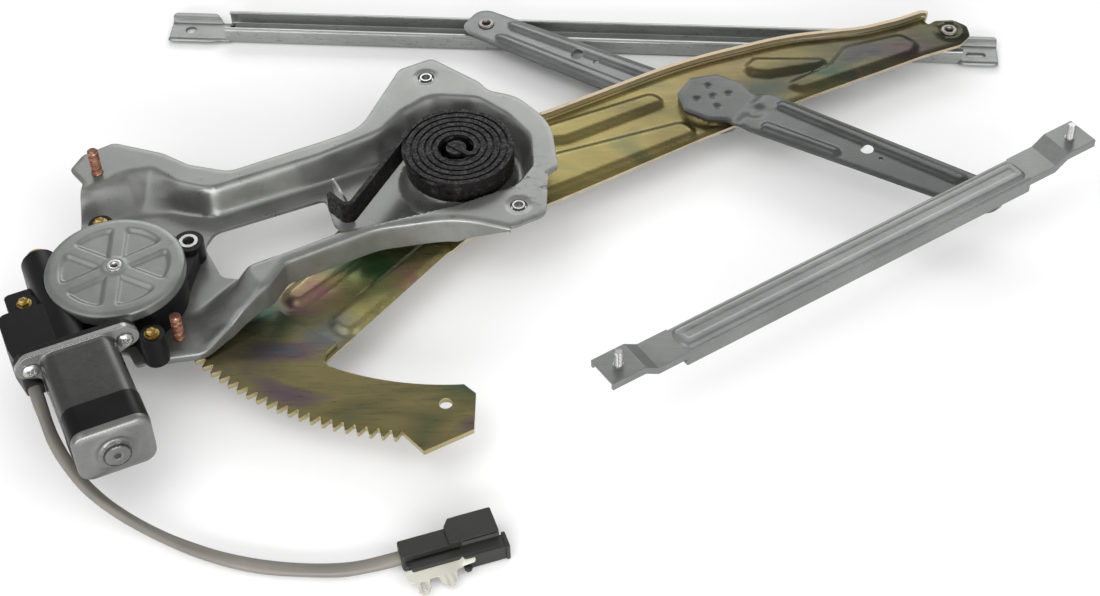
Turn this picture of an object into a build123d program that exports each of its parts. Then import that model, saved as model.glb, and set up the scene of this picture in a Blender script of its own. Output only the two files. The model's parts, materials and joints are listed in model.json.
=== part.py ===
from build123d import *
import math
import os

# Scissor-arm window regulator of a car door, laid down with the side that faces the door
# panel upward. Millimetres, +Z up. Plan positions below are measured from the axis of the
# main pivot and heights from the top face of the toothed sector. The finished pieces are
# then placed with the foot of the rear mounting stud at the origin.

# Gear train
module = 2.0
sector_teeth = 180  # on the full circle
pinion_teeth = 14
pressure_angle = 25.0
tooth_play = 0.12
mesh_angle = -154.8
sector_sheet = 3.0
sector_inner_r = 145.5
sector_seat_r = 129.0
sector_start = -168.0
sector_end = -97.0
sector_hole_r = 3.5
sector_hole_margin = 12.6
pinion_face = 7.0

# Sheet thicknesses
plate_sheet = 2.0
arm_sheet = 2.5
aux_sheet = 2.0
rail_sheet = 1.5
tab_sheet = 2.5

# Stamped back plate
floor_top = 6.0
flange_top = 22.0
pad_top = 17.0
pad_r = 27.0
stud_r = 3.0
stud_length = 16.0
stud_shoulder = 0.4  # serrated foot that is pressed into the sheet
nut_r = 4.6
nut_bore_r = 2.5
nut_height = 6.0
stud_points = [(-196.0, 0.0), (-143.0, -111.0)]
nut_points = [(-18.0, 71.0), (33.0, -38.0)]

# Lift arm and its pivot
centre_joint = (145.5, 68.7)
arm_roller = (291.2, 126.4)
aux_roller = (15.4, 156.1)
rail_roller = (289.1, -27.8)
bead_height = 2.2
arm_rim_height = 4.2
arbor_r = 8.0
bushing_wall = 2.5
post_r = 5.5
running_play = 0.05
end_play = 0.3

# Aux arm halves
aux_low_drop = 2.8  # washer between lift arm and lower half
boss_height = 2.9
collar_r = 9.2
aux_width_tip = 25.0
aux_width_root = 34.0
rivet_r = 3.5

# Rails and rollers
rail_width = 19.5
rail_depth = 10.0
rail_slot = 9.0
roller_play = 0.3
glass_rail_left = 195.9
glass_rail_right = 307.6
tab_length = 25.0
glass_right_tab = 21.5
lower_rail_length = 317.0
lower_rail_angle = 31.44
lower_rail_lead = 96.0
lower_rail_bottom = 6.6
lower_wall_end = 113.0  # from the middle, where the deep sides stop
lower_web_end = 131.0
lower_tab_rise = 5.0
tab_edge = 3.0
bend_r = 1.4
glass_hole_r = 3.3
rail_stud_r = 2.5
rail_stud_length = 9.0
rail_stud_inset = 9.8

# Clock spring
spring_strip = 2.6
spring_width = 13.0
spring_bottom = 18.2
spring_outer_r = 30.0
spring_inner_r = 9.2
spring_half_turns = 11
hook_bend = (-57.0, -45.0)
hook_tip = (-67.6, -33.0)

# Gear motor
housing_r = 35.2
housing_top = 29.8
cavity_r = 29.5
cavity_floor = 12.0
wheel_r = 28.2
wheel_bottom = 15.0
wheel_width = 10.0
shaft_r = 6.0
worm_r = 5.0
worm_offset = 33.5
worm_height = 20.0
tunnel_r = 9.5
cover_r = 36.25
cover_sheet = 1.2
cover_recess = 1.0
cover_skirt = 6.0
can_start = 50.0
can_end = 111.0
can_width = 39.0
can_height = 32.0
can_wall = 1.2
can_corner = 7.5
can_screw_offset = 24.0
can_screw_height = 28.0
can_screw_r = 2.2
screw_circle_r = 48.5
ear_r = 6.0
mount_screw_r = 2.4
bush_r = 5.0
bush_bore_r = 3.2

# Cable
cable_d = 6.6
cable_corner = 0.45

# Derived sizes
sector_r = module * sector_teeth / 2
pinion_r = module * pinion_teeth / 2
tooth_out = module
tooth_in = 1.25 * module
floor_bottom = floor_top - plate_sheet
flange_bottom = flange_top - plate_sheet
arm_top = -sector_sheet
arm_bottom = arm_top - arm_sheet
low_top = arm_bottom - aux_low_drop
low_bottom = low_top - aux_sheet
boss_top = arm_top + boss_height
hub_bottom = boss_top + 0.1
rail_top = low_bottom - 0.5
rail_bottom = rail_top - rail_depth
roller_r = rail_width / 2 - rail_sheet - roller_play
wheel_centre = (
    (sector_r + pinion_r) * math.cos(math.radians(mesh_angle)),
    (sector_r + pinion_r) * math.sin(math.radians(mesh_angle)),
)
rail_stud_place = lower_rail_length / 2 - rail_stud_inset
lower_tab_bottom = rail_depth - rail_sheet + lower_tab_rise
slot_width = spring_strip + 2 * end_play
motor_turn = -67.0


def at(r, degrees, centre=(0.0, 0.0)):
    a = math.radians(degrees)
    return (centre[0] + r * math.cos(a), centre[1] + r * math.sin(a))


def angle_to(a, b):
    return math.degrees(math.atan2(b[1] - a[1], b[0] - a[0]))


def blank(points, radius, bottom, height):
    """Flat blank with rounded corners, lifted to its height."""
    radii = radius if isinstance(radius, list) else [radius] * len(points)
    face = make_face(FilletPolyline(*points, radius=radii, close=True))
    return extrude(Pos(0, 0, bottom) * face, amount=height, dir=(0, 0, 1))


def disc(r, bottom, top, centre=(0.0, 0.0)):
    post = Cylinder(r, top - bottom, align=(Align.CENTER, Align.CENTER, Align.MIN))
    return Pos(centre[0], centre[1], bottom) * post


def box(x0, x1, y0, y1, z0, z1):
    block = Box(x1 - x0, y1 - y0, z1 - z0, align=(Align.MIN, Align.MIN, Align.MIN))
    return Pos(x0, y0, z0) * block


def grown(points, d):
    """The closed outline with each side moved outward by d, corners kept."""
    area = sum(p[0] * q[1] - q[0] * p[1] for p, q in zip(points, points[1:] + points[:1]))
    side = 1.0 if area > 0 else -1.0
    moved = []
    for i, p in enumerate(points):
        a, b = points[i - 1], points[(i + 1) % len(points)]
        u = Vector(p[0] - a[0], p[1] - a[1]).normalized()
        v = Vector(b[0] - p[0], b[1] - p[1]).normalized()
        nu, nv = Vector(u.Y, -u.X) * side, Vector(v.Y, -v.X) * side
        m = (nu + nv) * (1.0 / (1.0 + nu.dot(nv)))
        moved.append((p[0] + m.X * d, p[1] + m.Y * d))
    return moved


def tapered(low, high, z0, z1, low_radii, high_radii):
    """Solid between two similar rounded outlines."""
    wires = []
    for points, z, radii in ((low, z0, low_radii), (high, z1, high_radii)):
        radii = radii if isinstance(radii, list) else [radii] * len(points)
        corners = [(x, y, z) for x, y in points]
        wires.append(Wire(FilletPolyline(*corners, radius=radii, close=True).edges()))
    return Part() + Solid.make_loft(wires, ruled=True)


def bead(points, radius, bottom, height, slope):
    """Raised bead on a sheet: wide at its foot, narrower on top."""
    top = grown(points, -slope)
    return tapered(points, top, bottom, bottom + height, radius, max(radius - slope, 0.4))


def pressed(sheet_solid, points, radius, top, thickness, height):
    """Adds a bead to a sheet and hollows it from below by the same draw."""
    slope = 0.6 * height
    raised = bead(points, radius, top - thickness / 2, height + thickness / 2, slope)
    inset = 0.5 * thickness
    inner = grown(points, -inset)
    hollow = bead(inner, radius - inset, top - thickness, height, slope)
    return sheet_solid + raised - hollow


def bent(profile, thickness, width):
    """Sheet that follows a side profile of (length, height of its lower face)."""
    low = [(s, z) for s, z in profile]
    high = [(s, z + thickness) for s, z in reversed(profile)]
    face = make_face(Polyline(*(low + high), close=True))
    solid = extrude(Plane.XZ * face, amount=width / 2, both=True)
    return solid


# Toothed sector and pinion

def gear_flank(teeth, r):
    """Half angle of a tooth at radius r, in degrees, on an involute flank."""
    pitch = module * teeth / 2
    base = pitch * math.cos(math.radians(pressure_angle))
    def inv(radius):
        c = min(1.0, base / radius)
        phi = math.acos(c)
        return math.tan(phi) - phi
    half = math.pi / 2 / teeth + inv(pitch) - inv(max(r, base)) - tooth_play / pitch
    return math.degrees(half)


def toothed_edge(teeth, first, count, phase):
    """Tooth corner points in order of growing angle, each tooth four points."""
    pitch = module * teeth / 2
    low, high = pitch - tooth_in, pitch + tooth_out
    points = []
    for k in range(first, first + count):
        centre = phase + k * 360.0 / teeth
        foot, mid, tip = (gear_flank(teeth, r) for r in (low, pitch, high))
        points.append(at(low, centre - foot))
        points.append(at(pitch, centre - mid))
        points.append(at(high, centre - tip))
        points.append(at(high, centre + tip))
        points.append(at(pitch, centre + mid))
        points.append(at(low, centre + foot))
    return points


def sector_gear():
    step = 360.0 / sector_teeth
    count = int((sector_end - sector_start) / step)
    first = int(round((sector_start - mesh_angle) / step))
    teeth = toothed_edge(sector_teeth, first, count, mesh_angle + step / 2)
    hook = at(sector_r + 9.3, -95.03)
    corner = [at(sector_r - 4.2, -87.42), at(sector_inner_r + 6.6, -86.65),
              at(sector_inner_r, -88.86)]
    inner_a, inner_b = at(sector_inner_r, -90.6), at(sector_inner_r, -117.0)
    step_in = [(-68.9, -125.6), (-67.9, -120.0), at(sector_seat_r, -119.0)]
    seat_end = at(sector_seat_r, sector_start)
    edges = [
        *Polyline(*teeth, hook, *corner, inner_a).edges(),
        ThreePointArc(inner_a, at(sector_inner_r, -104.0), inner_b).edge(),
        *Polyline(inner_b, *step_in).edges(),
        ThreePointArc(step_in[-1], at(sector_seat_r, -143.0), seat_end).edge(),
        *Polyline(seat_end, teeth[0]).edges(),
    ]
    plate = extrude(make_face(edges), amount=-sector_sheet, dir=(0, 0, 1))
    hole = at(sector_inner_r + sector_hole_margin, -92.25)
    return plate - disc(sector_hole_r, -sector_sheet - 1, 1, hole)


def pinion_teeth_solid():
    turn = mesh_angle + 180.0
    points = toothed_edge(pinion_teeth, 0, pinion_teeth, turn)
    face = make_face(Polyline(*points, close=True))
    ring = extrude(face, amount=pinion_face, dir=(0, 0, 1))
    return Pos(wheel_centre[0], wheel_centre[1], arm_top - 1.0) * ring


# Lift arm

def lift_arm():
    outline = [
        (-82.0, -140.0), (4.0, -35.5), (66.6, -1.0), (138.7, 39.5), (202.3, 72.0),
        (273.5, 105.2), (296.0, 113.5), (303.0, 121.5), (302.5, 131.0), (295.5, 137.0),
        (284.5, 137.0), (280.0, 133.5), (277.5, 138.0), (262.0, 131.3), (240.0, 124.5),
        (193.7, 119.6), (132.5, 100.7), (48.5, 57.5), (12.0, 48.0), (-30.0, 38.0),
        (-63.2, -22.1), (-126.0, -108.0), (-112.0, -126.0),
    ]
    radii = [6, 30, 200, 300, 200, 60, 8, 5, 5, 5, 4, 1, 1, 40, 60, 150, 300, 60, 20, 30, 40,
             14, 14]
    arm = blank(outline, radii, arm_bottom, arm_sheet)
    # turned-up rim along the rear edge
    rear = [(48.5, 57.5), (132.5, 100.7), (193.7, 119.6), (240.0, 124.5), (262.0, 131.3)]
    rear_in = grown(rear + [(262.0, 0.0), (48.5, 0.0)], -arm_sheet)[: len(rear)]
    rim = blank(rear + rear_in[::-1], 0, arm_bottom, arm_rim_height + arm_sheet)
    arm = arm + rim
    # long beads beside the pivot and on the tail
    beads = [
        ([(52.0, 55.0), (38.0, 44.0), (60.0, 39.5), (119.0, 69.0), (111.0, 77.5)], 5.0),
        ([(60.0, 35.0), (50.0, -4.0), (136.0, 41.0), (127.0, 51.5)], 5.0),
        ([(-94.0, -77.0), (-84.0, -84.0), (-50.0, -48.0), (-62.0, -38.0)], 5.0),
        ([(-68.0, -97.0), (-56.5, -107.0), (-1.0, -42.0), (-18.0, -38.0)], 5.0),
        ([(170.0, 96.0), (178.0, 88.5), (214.0, 99.5), (173.0, 103.0)], 2.5),
        ([(187.0, 79.5), (197.0, 71.5), (266.0, 105.5), (258.0, 122.0), (240.0, 120.0)], 5.0),
    ]
    for points, radius in beads:
        arm = pressed(arm, points, radius, arm_top, arm_sheet, bead_height)
    # raised round boss for the centre joint
    arm = arm + disc(19.0, arm_top, boss_top, centre_joint)
    arm = arm - disc(17.5, arm_bottom, boss_top - arm_sheet, centre_joint)
    arm = arm - disc(collar_r + running_play, -20, 20, centre_joint)
    # countersunk seat of the pivot
    arm = arm - disc(arbor_r, -20, 20)
    arm = arm - Pos(0, 0, arm_bottom) * Cone(
        arbor_r + 2.0, arbor_r, arm_sheet * 0.7, align=(Align.CENTER, Align.CENTER, Align.MIN)
    )
    return arm - disc(rivet_r, -20, 20, arm_roller)


def arbor():
    """Slotted pivot post that turns with the lift arm and winds the spring."""
    post = disc(arbor_r, arm_bottom, spring_bottom - 0.2)
    post += Pos(0, 0, arm_bottom) * Cone(
        arbor_r + 2.0, arbor_r, arm_sheet * 0.7, align=(Align.CENTER, Align.CENTER, Align.MIN)
    )
    post += disc(arbor_r + 3.0, arm_top, arm_top + 2.0)
    post += disc(post_r, arm_bottom, spring_bottom + spring_width - 0.5)
    a, b = tang_ends()
    middle = ((a[0] + b[0]) / 2, (a[1] + b[1]) / 2)
    slot = box(-20, 20, -slot_width / 2, slot_width / 2, spring_bottom - 0.2, 60)
    return post - placed(slot, middle, angle_to(a, b))


def pivot_bushing():
    low = arm_top + 2.0 + end_play
    tube = disc(arbor_r + bushing_wall, low, pad_top)
    tube += disc(arbor_r + bushing_wall + 3.0, pad_top, pad_top + 1.0)
    return tube - disc(arbor_r + running_play, -20, 60)


# Clock spring

def band(path, width):
    """Face of constant width along an open path."""
    left = path.offset_2d(width / 2, side=Side.LEFT, closed=False)
    right = path.offset_2d(width / 2, side=Side.RIGHT, closed=False)
    a0, a1, b0, b1 = left @ 0, left @ 1, right @ 0, right @ 1
    if (a0 - b0).length > (a0 - b1).length:
        b0, b1 = b1, b0
    caps = [Line(a0, b0).edge(), Line(a1, b1).edge()]
    return make_face([*left.edges(), *right.edges(), *caps])


def spring_lean():
    return angle_to(hook_bend, at(spring_outer_r, 152.7)) + 90.0


def tang_ends():
    """Ends of the straight tang that crosses the slotted post."""
    inner_turn = spring_lean() - 180.0 * spring_half_turns
    return at(spring_inner_r - 0.4, inner_turn - 14.0), at(post_r - 0.5, inner_turn - 190.0)


def clock_spring():
    """Half-circle turns that grow outward, a straight leg with a hook, and the inner tang."""
    growth = (spring_outer_r - spring_inner_r) / spring_half_turns
    start = spring_lean()
    r, centre, edges = spring_outer_r, (0.0, 0.0), []
    for _ in range(spring_half_turns):
        ends = at(r, start, centre), at(r, start - 90, centre), at(r, start - 180, centre)
        edges.append(ThreePointArc(*ends).edge())
        centre = at(growth, start - 180, centre)
        r, start = r - growth, start - 180
    outer, inner = edges[0] @ 0, edges[-1] @ 1
    leg = FilletPolyline(hook_tip, hook_bend, (outer.X, outer.Y), radius=4.0)
    near, far = tang_ends()
    end = FilletPolyline((inner.X, inner.Y), near, far, radius=1.5)
    face = band(Wire([*leg.edges(), *edges, *end.edges()]), spring_strip)
    return extrude(Pos(0, 0, spring_bottom) * face, amount=spring_width, dir=(0, 0, 1))


# Back plate

def back_plate():
    outline = [
        (-211.5, 3.0), (-206.0, 15.0), (-190.0, 24.5), (-161.7, 14.2), (-146.6, 4.0),
        (-124.0, -2.5), (-75.6, 18.8), (-54.0, 29.0), (-33.5, 79.0), (-15.0, 88.0),
        (12.0, 65.5), (17.3, 57.5), (33.0, 52.0), (52.0, 28.0), (55.0, -9.0), (49.5, -14.0),
        (47.6, -46.0), (29.0, -56.0), (0.0, -46.0), (-42.0, -52.0), (-90.0, -76.0),
        (-99.0, -92.0), (-131.0, -122.5), (-152.0, -124.0), (-163.0, -131.0),
        (-168.0, -121.0), (-200.0, -113.0), (-226.0, -113.0), (-231.0, -92.0),
        (-206.0, -50.0), (-203.0, -8.0),
    ]
    radii = [
        4, 6, 6, 20, 10, 12, 60, 25, 7, 5, 6, 6, 12, 20, 4, 2, 7, 7, 60, 40, 8,
        12, 12, 20, 3, 3, 10, 8, 12, 30, 3,
    ]
    rim = [
        (-236.0, -26.0), (-200.0, -10.5), (-182.0, 2.0), (-166.0, 5.0), (-151.0, -9.0),
        (-134.0, -15.5), (-75.0, 9.0), (-43.0, 28.0), (-33.0, 43.0), (-16.0, 57.0),
        (12.0, 53.0), (29.0, 37.0), (41.5, 18.0), (42.0, -8.0), (32.0, -23.0), (0.0, -36.5),
        (-41.0, -49.0), (-62.0, -55.0), (-108.0, -78.0), (-104.0, -85.0), (-98.0, -91.0),
        (-84.0, -112.0), (-150.0, -170.0), (-262.0, -120.0),
    ]
    foot = [
        (-236.0, -46.0), (-203.0, -28.0), (-177.0, -23.0), (-156.0, -18.0), (-147.0, -20.5),
        (-132.0, -23.0), (-82.0, -2.0), (-42.0, 15.0), (-27.0, 30.0), (-12.0, 43.0),
        (8.0, 41.0), (22.0, 29.0), (33.5, 14.0), (35.5, -5.0), (28.0, -19.0), (-1.0, -34.5),
        (-43.0, -43.0), (-66.0, -48.0), (-114.0, -68.0), (-143.0, -96.0), (-131.0, -121.0),
        (-117.0, -140.0), (-152.0, -168.0), (-260.0, -118.0),
    ]
    bends = [5, 8, 12, 8, 8, 14, 30, 12, 12, 12, 12, 12, 12, 7, 7, 20, 12, 8, 3, 3, 3, 3, 3, 3]
    wall = plate_sheet / 2
    pan = tapered(foot, rim, floor_top, flange_top, bends, bends)
    cup = tapered(grown(foot, wall), grown(rim, wall), floor_bottom, flange_bottom, bends, bends)
    plate = blank(outline, radii, flange_bottom, plate_sheet) + cup
    front = [(29.0, -55.0), (0.0, -45.0), (-42.0, -51.0), (-89.5, -75.0), (-98.0, -91.5),
             (-131.0, -121.5)]
    path = Wire(FilletPolyline(*front, radius=[60, 40, 8, 12]).edges())
    web = extrude(Pos(0, 0, floor_bottom) * band(path, plate_sheet),
                  amount=flange_bottom - floor_bottom, dir=(0, 0, 1))
    plate = plate + web - pan
    plate = plate & blank(outline, radii, 0.0, flange_top + 1.0)
    # round pad under the clock spring, drawn up from the floor
    pad_height = pad_top - floor_top
    up = (Align.CENTER, Align.CENTER, Align.MIN)
    plate = plate + Pos(0, 0, floor_top) * Cone(pad_r + 5.0, pad_r, pad_height, align=up)
    hollow = Cone(pad_r + 3.6, pad_r - 1.4, pad_height, align=up)
    plate = plate - Pos(0, 0, floor_bottom) * hollow
    # long opening between the rear and the front strip
    opening = [
        (-73.0, -10.5), (-131.0, -33.5), (-136.0, -45.0), (-124.5, -69.0), (-112.0, -71.0),
        (-95.0, -71.0), (-53.0, -50.0), hook_seat(5.0, 0.0), hook_seat(17.0, 0.0),
    ]
    plate = plate - blank(opening, [3, 9, 9, 6, 6, 20, 2, 1, 1], 0.0, 40.0)
    # tongue bent up at the end of the opening, inside the hook of the spring
    tongue = extrude(make_face(Polyline(*[
        (hook_seat(s, t)) for s, t in ((5.0, 0.0), (17.0, 0.0), (17.0, plate_sheet),
                                       (5.0, plate_sheet))], close=True)),
        amount=spring_bottom + spring_width - floor_bottom, dir=(0, 0, 1))
    plate = plate + Pos(0, 0, floor_bottom) * tongue
    # holes
    plate = plate - disc(arbor_r + bushing_wall, 0, 40)
    plate = plate - disc(pilot_r, 0, 40, wheel_centre)
    for point in stud_points:
        plate = plate - disc(stud_r + stud_shoulder, 0, 40, point)
    for point in nut_points:
        plate = plate - disc(nut_r - 1.2, 0, 40, point)
    for centre in screw_points() + [bush_point()]:
        plate = plate - disc(mount_screw_r, 0, 40, centre)
    return plate


def hook_seat(along, across):
    """Point beside the spring's hook, clear of it by the seating play."""
    u = Vector(hook_tip[0] - hook_bend[0], hook_tip[1] - hook_bend[1]).normalized()
    n = Vector(u.Y, -u.X)
    off = spring_strip / 2 + end_play + across
    return (hook_bend[0] + u.X * along + n.X * off, hook_bend[1] + u.Y * along + n.Y * off)


pilot_r = 12.0


def screw_points():
    return [at(screw_circle_r, a, wheel_centre) for a in (108.0, 202.0, 298.0)]


def bush_point():
    return at(45.0, 42.0, wheel_centre)


def plate_studs():
    studs = Part()
    for point, foot in zip(stud_points, (flange_top, floor_top)):
        stud = disc(stud_r, foot, foot + stud_length, point)
        stud = chamfer(stud.edges().sort_by(Axis.Z)[-1], 0.6)
        stud += disc(stud_r + stud_shoulder, foot - plate_sheet, foot, point)
        studs += stud + disc(stud_r + 2.0, foot - plate_sheet - 1.2, foot - plate_sheet, point)
    return studs


def clinch_nuts():
    nuts = Part()
    for point in nut_points:
        hexagon = RegularPolygon(nut_r + 1.0, 6, major_radius=True)
        body = extrude(Pos(point[0], point[1], flange_bottom - nut_height) * hexagon, nut_height)
        nut = body + disc(nut_r - 1.2, flange_bottom, flange_top, point)
        nuts += nut - disc(nut_bore_r, 0, 40, point)
    return nuts


# Aux arm: one half below and one above the lift arm, joined by the collar

def aux_low_half():
    reach = math.dist(centre_joint, aux_roller)
    tip, root = aux_width_tip / 2, aux_width_root / 2
    outline = [(-19, -root), (16, -root), (reach + 12.0, -tip), (reach + 12.0, tip),
               (16, root), (-19, root)]
    arm = blank(outline, [14, 40, 9, 9, 40, 14], low_bottom, aux_sheet)
    for side in (-1, 1):
        ridge = [(26.0, side * (root - 11.0)), (reach - 16.0, side * (tip - 8.0)),
                 (reach - 16.0, side * (tip - 3.0)), (26.0, side * (root - 4.0))]
        arm = pressed(arm, ridge, 2.2, low_top, aux_sheet, 1.5)
    arm = arm - disc(4.0, -30, 30, (92.0, 0.0)) - disc(1.8, -30, 30, (78.5, 0.0))
    arm = arm - disc(rivet_r, -30, 30, (reach, 0.0))
    return placed(arm, centre_joint, angle_to(centre_joint, aux_roller))


def aux_high_half():
    reach = math.dist(centre_joint, rail_roller)
    tip, root = aux_width_tip / 2, aux_width_root / 2
    step = aux_sheet
    octagon = extrude(Pos(0, 0, hub_bottom) * Rot(0, 0, 22.5) * RegularPolygon(20.5, 8), aux_sheet)
    arm = bent([(-5.0, hub_bottom), (21.0, hub_bottom), (26.0, hub_bottom + step),
                (reach + 14.0, hub_bottom + step)], aux_sheet, 60.0)
    outline = [(0, -13.5), (17, -13.5), (32, -root), (reach + 12.0, -tip),
               (reach + 12.0, tip), (32, root), (17, 13.5), (0, 13.5)]
    arm = (arm & blank(outline, [0, 8, 12, 11, 11, 12, 8, 0], -10, 40)) + octagon
    top = hub_bottom + step + aux_sheet
    ridges = [
        [(38.0, 6.0), (reach - 24.0, 3.0), (reach - 24.0, tip - 3.0), (38.0, root - 4.0)],
        [(38.0, 3.0 - root), (80.0, 4.0 - root), (80.0, 9.0 - root), (38.0, 9.5 - root)],
    ]
    for ridge in ridges:
        arm = pressed(arm, ridge, 2.0, top, aux_sheet, 1.5)
    for spot in [(0.0, 0.0)] + [at(9.5, 45.0 + 90.0 * k) for k in range(4)]:
        arm = arm - disc(1.8, hub_bottom + aux_sheet - 0.7, 10, spot)
    arm = arm - disc(4.0, -30, 30, (97.0, -1.0)) - disc(1.8, -30, 30, (109.0, -1.0))
    arm = arm - disc(rivet_r, -30, 30, (reach, 0.0))
    return placed(arm, centre_joint, angle_to(centre_joint, rail_roller))


def placed(solid, point, turn):
    return Pos(point[0], point[1], 0) * Rot(0, 0, turn) * solid


def centre_collar():
    collar = disc(collar_r, low_top, hub_bottom, centre_joint)
    return collar + disc(collar_r + 5.0, low_top, arm_bottom - 0.2, centre_joint)


# Rails, rollers and their pins

def channel(x0, x1):
    """Rolled channel that opens upward, bottom at zero, cut at its bends into plain walls:
    the web, the two sides and the two lips that leave the slot."""
    half, lip, t = rail_width / 2, rail_slot / 2, rail_sheet
    web = box(x0, x1, t - half, half - t, 0.0, t)
    walls = [web]
    for side in (-1, 1):
        edge = [(side * (half - t), 0.0), (side * half, 0.0), (side * half, rail_depth),
                (side * (half - t), rail_depth)]
        face = make_face(FilletPolyline(*edge, radius=[0, bend_r, bend_r, 0], close=True))
        walls.append(extrude(Plane.YZ.offset(x0) * face, amount=x1 - x0, dir=(1, 0, 0)))
        y0, y1 = sorted((side * lip, side * (half - t)))
        walls.append(box(x0, x1, y0, y1, rail_depth - t, rail_depth))
    return walls


def glass_rail():
    left, right = -glass_rail_left, glass_rail_right
    walls = channel(left + tab_length, right - glass_right_tab)
    half = rail_width / 2
    ends = []
    for x0, x1 in ((left, left + tab_length), (right - glass_right_tab, right)):
        tab = box(x0, x1, -half - 3.0, half + 3.0, 0.0, rail_sheet)
        ends.append(tab + box(x0, x1, half - 4.0, half + 3.0, 0.0, 4.0))
    ends[0] -= disc(glass_hole_r, -5, 20, (left + 12.2, -0.5))
    ends[1] -= extrude(Pos(right - 12.7, -2.0, -1) * SlotOverall(11.5, 4.6), 20)
    turn = angle_to(aux_roller, arm_roller)
    body = Compound([solid for wall in walls + ends for solid in wall.solids()])
    return placed(Pos(0, 0, rail_bottom) * body, aux_roller, turn)


def lower_rail():
    half_length, half = lower_rail_length / 2, rail_width / 2
    flip = Pos(0, 0, rail_depth) * Rot(180, 0, 0)
    walls = [flip * wall for wall in channel(-lower_wall_end, lower_wall_end)]
    pad = [(-110.0, -5.8), (110.0, -5.8), (110.0, 5.8), (-110.0, 5.8)]
    walls[0] = pressed(walls[0], pad, 3.0, rail_depth, rail_sheet, 1.2)
    top = rail_depth - rail_sheet
    profile = [(lower_wall_end, top), (lower_web_end, top),
               (lower_web_end + 8.0, lower_tab_bottom), (half_length, lower_tab_bottom)]
    tab = bent(profile, rail_sheet, rail_width)
    for side in (-1, 1):
        edge = bent([(s, z - tab_edge) for s, z in profile], tab_edge + rail_sheet, rail_sheet)
        tab += Pos(0, side * (half - rail_sheet / 2), 0) * edge
    tab -= disc(rail_stud_r + stud_shoulder, -5, 30, (rail_stud_place, 0.0))
    walls += [tab, Rot(0, 0, 180) * tab]
    return rail_frame(Compound([solid for wall in walls for solid in wall.solids()]))


def rail_frame(solid):
    along = Vector(1, 0).rotate(Axis.Z, lower_rail_angle) * lower_rail_lead
    centre = (rail_roller[0] - along.X, rail_roller[1] - along.Y)
    return placed(Pos(0, 0, lower_rail_bottom) * solid, centre, lower_rail_angle)


def lower_rail_studs():
    studs = Part()
    top = lower_tab_bottom + rail_sheet
    for side in (-1, 1):
        point = (side * rail_stud_place, 0.0)
        stud = disc(rail_stud_r, top, top + rail_stud_length, point)
        stud = chamfer(stud.edges().sort_by(Axis.Z)[-1], 0.5)
        stud += disc(rail_stud_r + stud_shoulder, lower_tab_bottom, top, point)
        studs += stud + disc(rail_stud_r + 2.0, lower_tab_bottom - 1.2, lower_tab_bottom, point)
    return rail_frame(studs)


roller_height = rail_depth - 2 * rail_sheet - 0.6
head_r = 5.0


def roller():
    body = disc(roller_r, 0, roller_height) - disc(rivet_r + running_play, -1, 20)
    return body - disc(head_r + 0.3, -1, 1.8)


def pin(upper, head_top):
    """Shouldered rivet: head in the roller's counterbore, stem up to the arm sheet."""
    body = disc(head_r, 0.3, 1.5) + disc(rivet_r, 0.3, head_top)
    body += disc(rivet_r + 0.7, roller_height + 0.2, upper)
    return body + disc(head_r + 1.0, head_top, head_top + 1.2)


def roller_at(point):
    return Pos(point[0], point[1], rail_bottom + rail_sheet + 0.3) * roller()


def pin_at(point, sheet_bottom, sheet_top):
    low = rail_bottom + rail_sheet + 0.3
    return Pos(point[0], point[1], low) * pin(sheet_bottom - low, sheet_top - low)


def upside(solid):
    low = lower_rail_bottom + rail_sheet + 0.3
    flipped = Pos(0, 0, low + roller_height) * Rot(180, 0, 0) * solid
    return Pos(rail_roller[0], rail_roller[1], 0) * flipped


def lower_pin():
    top = lower_rail_bottom + rail_sheet + 0.3 + roller_height
    sheet_top = hub_bottom + 2 * aux_sheet
    return upside(pin(top - sheet_top, top - sheet_top + aux_sheet))


# Gear motor, drawn with the worm axis along +X and the wheel axis at its origin

def motor_placed(solid):
    return placed(solid, wheel_centre, motor_turn)


can_axis = (-worm_offset, worm_height)


def motor_ears():
    return [at(screw_circle_r, a) for a in (175.0, 269.0, 5.0)]


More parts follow.
